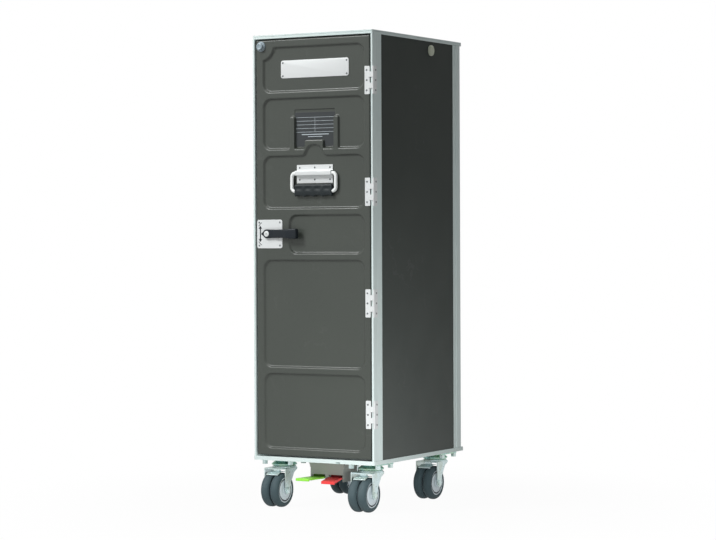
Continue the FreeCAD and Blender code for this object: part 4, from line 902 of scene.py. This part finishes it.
class GALLEY_OT_castors(bpy.types.Operator):
    """Makes the turned rims and tyres of the twin wheels, and softens the pressed forks and bearing heads"""
    bl_idname = "galley.castors"
    bl_label = "Castors"

    def execute(self, context):
        shape = context.scene.cart_shape
        soften("castor_heads", 0.0004)
        for place in CASTORS:
            # the forks and axles take the zinc painted as lit
            soften("castor_fork_" + place, 0.0006, coat="fork_zinc")
            keep_node("castor_axle_" + place, coat="fork_zinc")
            low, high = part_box("wheel_tyre_" + place + "_left")
            centre = (low.x / MM + TYRE_SIDE, (low.y + high.y) / 2 / MM, (low.z + high.z) / 2 / MM)
            for side, out in (("left", -1), ("right", 1)):
                wheel = place + "_" + side
                for name, profile, slot, node in (
                        ("wheel_tyre_" + wheel + "_turned", tyre_profile(), "tyre_grey", ["wheel_tyre_" + wheel]),
                        ("wheel_rim_" + wheel + "_turned", RIM_PROFILE, "rim_grey", ["wheel_rim_" + wheel]),
                        # a dark ring in the rim's groove: painted shade
                        ("wheel_dust_ring_" + wheel, GROOVE_SHADE_PROFILE, "seal_rubber", ())):
                    ring = turned(profile, centre, (out, 0, 0), shape.around, ring=True)
                    make_piece(name, [ring], "wheel_" + wheel, slot, node)
        return {"FINISHED"}


# the wheel's profiles are loops of (radius, distance out from the castor's middle), in millimetres
TYRE_SIDE = 22.5


def tyre_profile():
    """Loop of a tyre: crowned tread, two shoulder arcs of 9 mm radius, a fine line on the outer side."""
    t = np.linspace(0.0, np.pi / 2, 8)
    outer = np.column_stack([28.5 + 9.0 * np.sin(t), 13.5 + 9.0 * np.cos(t)])
    inner = np.column_stack([28.5 + 9.0 * np.cos(t), 10.5 - 9.0 * np.sin(t)])
    crown = np.array([(37.5, 12.7), (37.5, 11.3)])
    return np.vstack([[(28.05, 3.0), (28.05, 20.6), (28.25, 21.6), (28.35, 22.2)], outer, crown, inner,
                      [(28.3, 1.9), (28.05, 2.4)]])


# bored hub, inner web, tyre seat, raised ring, groove and domed disc of a rim
RIM_PROFILE = [
    (4.25, 1.5), (11.6, 1.5), (12.4, 2.0), (14.0, 4.4), (24.0, 4.5), (26.4, 2.7), (27.7, 2.5), (27.95, 3.2),
    (27.95, 19.9), (27.7, 20.6), (27.0, 21.1), (25.6, 21.2), (24.9, 20.7), (24.5, 19.2), (23.3, 18.8), (22.4, 19.3),
    (21.9, 20.6), (21.2, 21.2), (18.0, 21.5), (12.5, 21.6), (9.2, 21.6), (8.4, 22.0), (8.0, 22.9), (7.6, 23.1),
    (4.25, 23.1)]

# the dark ring that fills the foot of the rim's groove, a painted shade of the groove
GROOVE_SHADE_PROFILE = [(21.9, 18.9), (24.6, 18.9), (24.7, 20.2), (24.2, 20.5), (22.4, 20.5), (21.8, 20.2)]


# ---- studio
def seen_directly(tree):
    """1 for rays from the camera, in gloss and through glass, else 0, as a node's first output."""
    path = put(tree, "LightPath", (-900, 200))
    first, both = maths(tree, "MAXIMUM", (-680, 200)), maths(tree, "MAXIMUM", (-500, 200))
    wire(tree, (path, "Is Camera Ray", first, 0), (path, "Is Glossy Ray", first, 1), (first, 0, both, 0),
         (path, "Is Transmission Ray", both, 1))
    return both


def pale_floor():
    """Wide floor, white to the camera apart from a share of its own light and shadow."""
    reach = 7.0
    corners = [(-reach, -reach, 0.0), (reach, -reach, 0.0), (reach, reach, 0.0), (-reach, reach, 0.0)]
    mesh = bpy.data.meshes.new("studio_floor")
    mesh.from_pydata(corners, [], [[0, 1, 2, 3]])
    floor = bpy.data.objects.new("studio_floor", mesh)
    bpy.context.scene.collection.objects.link(floor)
    made = bpy.data.materials.new("Pale studio floor")
    tree = emptied_tree(made)
    matt = put(tree, "BsdfDiffuse", (-300, 0), None, Color=(0.50, 0.50, 0.50, 1.0))
    white = put(tree, "Emission", (-300, -160), None, Color=WHITE, Strength=1.0)
    shown = put(tree, "MixShader", (-80, -80))
    place = put(tree, "TexCoord", (-1100, -200))
    away = put(tree, "VectorMath", (-900, -200), {"operation": "LENGTH"})
    share = put(tree, "MapRange", (-700, -200), {"interpolation_type": "SMOOTHSTEP"},
                From_Min=0.25, From_Max=1.0, To_Min=0.035, To_Max=0.0)
    which = put(tree, "MixShader", (150, 0))
    out = put(tree, "OutputMaterial", (350, 0))
    wire(tree, (place, "Object", away, 0), (away, "Value", share, "Value"), (share, "Result", shown, 0),
         (white, 0, shown, 1), (matt, 0, shown, 2), (seen_directly(tree), 0, which, 0), (matt, 0, which, 1),
         (shown, 0, which, 2), (which, 0, out, "Surface"))
    mesh.materials.append(made)


def placed(thing, place, across, up, back):
    """Stands a lamp or camera at a place, looking the other way from back."""
    thing.matrix_world = Matrix([[across[k], up[k], back[k], place[k]] for k in range(3)] + [[0, 0, 0, 1]])
    bpy.context.scene.collection.objects.link(thing)


def area_lamp(name, place, target, size, watts):
    """Square lamp at a place, facing a target."""
    light = bpy.data.lights.new(name, "AREA")
    light.shape, light.size, light.energy = "SQUARE", size, watts
    lamp = bpy.data.objects.new(name, light)
    lamp.visible_camera = False
    back, first, second = cross_directions(np.subtract(place, target))
    placed(lamp, place, first, second, back)
    return lamp


def surrounding_light(strength):
    """Even grey light on the object, white where it is seen directly."""
    world = bpy.data.worlds.new("studio_surround")
    bpy.context.scene.world = world
    tree = emptied_tree(world)
    grey = put(tree, "Background", (-250, 80), None, Color=WHITE, Strength=strength)
    white = put(tree, "Background", (-250, -80), None, Color=WHITE, Strength=1.0)
    which, out = put(tree, "MixShader", (0, 0)), put(tree, "OutputWorld", (200, 0))
    wire(tree, (seen_directly(tree), 0, which, 0), (grey, 0, which, 1), (white, 0, which, 2),
         (which, 0, out, "Surface"))


def studio_camera(focal_length):
    """Camera turned by yaw, then pitch, then roll, at its place in metres."""
    lens = bpy.data.cameras.new("studio_camera")
    lens.sensor_width, lens.lens = 36.0, focal_length
    lens.clip_start, lens.clip_end = 0.05, 100.0
    camera = bpy.data.objects.new("studio_camera", lens)
    yaw, pitch, roll = (math.radians(a) for a in (30.29, 0.763, -0.238))
    forward = np.array([-math.sin(yaw) * math.cos(pitch), math.cos(yaw) * math.cos(pitch), -math.sin(pitch)])
    level = np.array([math.cos(yaw), math.sin(yaw), 0.0])
    upright = np.cross(level, forward)
    across = math.cos(roll) * level + math.sin(roll) * upright
    up = -math.sin(roll) * level + math.cos(roll) * upright
    placed(camera, (2.5732, -4.40755, 0.5846), across, up, -forward)
    bpy.context.scene.camera = camera


class GALLEY_OT_stage(bpy.types.Operator):
    """Sets the floor, the surround, the lamps and the camera"""
    bl_idname = "galley.stage"
    bl_label = "Studio"

    def execute(self, context):
        studio = context.scene.cart_studio
        pale_floor()
        surrounding_light(studio.surround)
        area_lamp("key_lamp", (-1.6, -2.8, 3.2), (0.0, -0.1, 0.55), 1.2, studio.key)
        area_lamp("top_lamp", (-0.2, -0.6, 3.4), (0.0, 0.0, 0.0), 2.4, studio.top)
        low = area_lamp("low_lamp", (0.85, -0.95, 0.10), (0.10, -0.15, 0.04), 0.3, studio.low)
        low.data.spread = math.radians(80.0)
        low.visible_glossy = False
        studio_camera(studio.lens)
        context.scene.view_settings.view_transform = "Standard"
        return {"FINISHED"}


# ---- add-on
class GALLEY_PT_sidebar(bpy.types.Panel):
    """Lists the cart's pieces, sizes and colours"""
    bl_label = "Galley cart"
    bl_idname = "GALLEY_PT_sidebar"
    bl_space_type = "VIEW_3D"
    bl_region_type = "UI"
    bl_category = "Galley cart"

    def draw(self, context):
        for step in STEPS:
            self.layout.operator(step.bl_idname)
        for name, group in SETTINGS.items():
            column = self.layout.box().column()
            for key in group.__annotations__:
                column.prop(getattr(context.scene, name), key)


STEPS = (GALLEY_OT_stage, GALLEY_OT_body, GALLEY_OT_door, GALLEY_OT_plates, GALLEY_OT_latch, GALLEY_OT_handle,
         GALLEY_OT_brake, GALLEY_OT_castors)
SETTINGS = {"cart_shape": CartShape, "cart_colours": CartColours, "cart_studio": CartStudio}
CLASSES = (*SETTINGS.values(), *STEPS, GALLEY_PT_sidebar)


def register():
    for cls in CLASSES:
        bpy.utils.register_class(cls)
    for name, group in SETTINGS.items():
        setattr(bpy.types.Scene, name, PointerProperty(type=group))


def unregister():
    for name in SETTINGS:
        delattr(bpy.types.Scene, name)
    for cls in reversed(CLASSES):
        bpy.utils.unregister_class(cls)


def main():
    register()
    for step in STEPS:
        getattr(bpy.ops.galley, step.bl_idname.split(".")[1])()


if __name__ == "__main__":
    main()
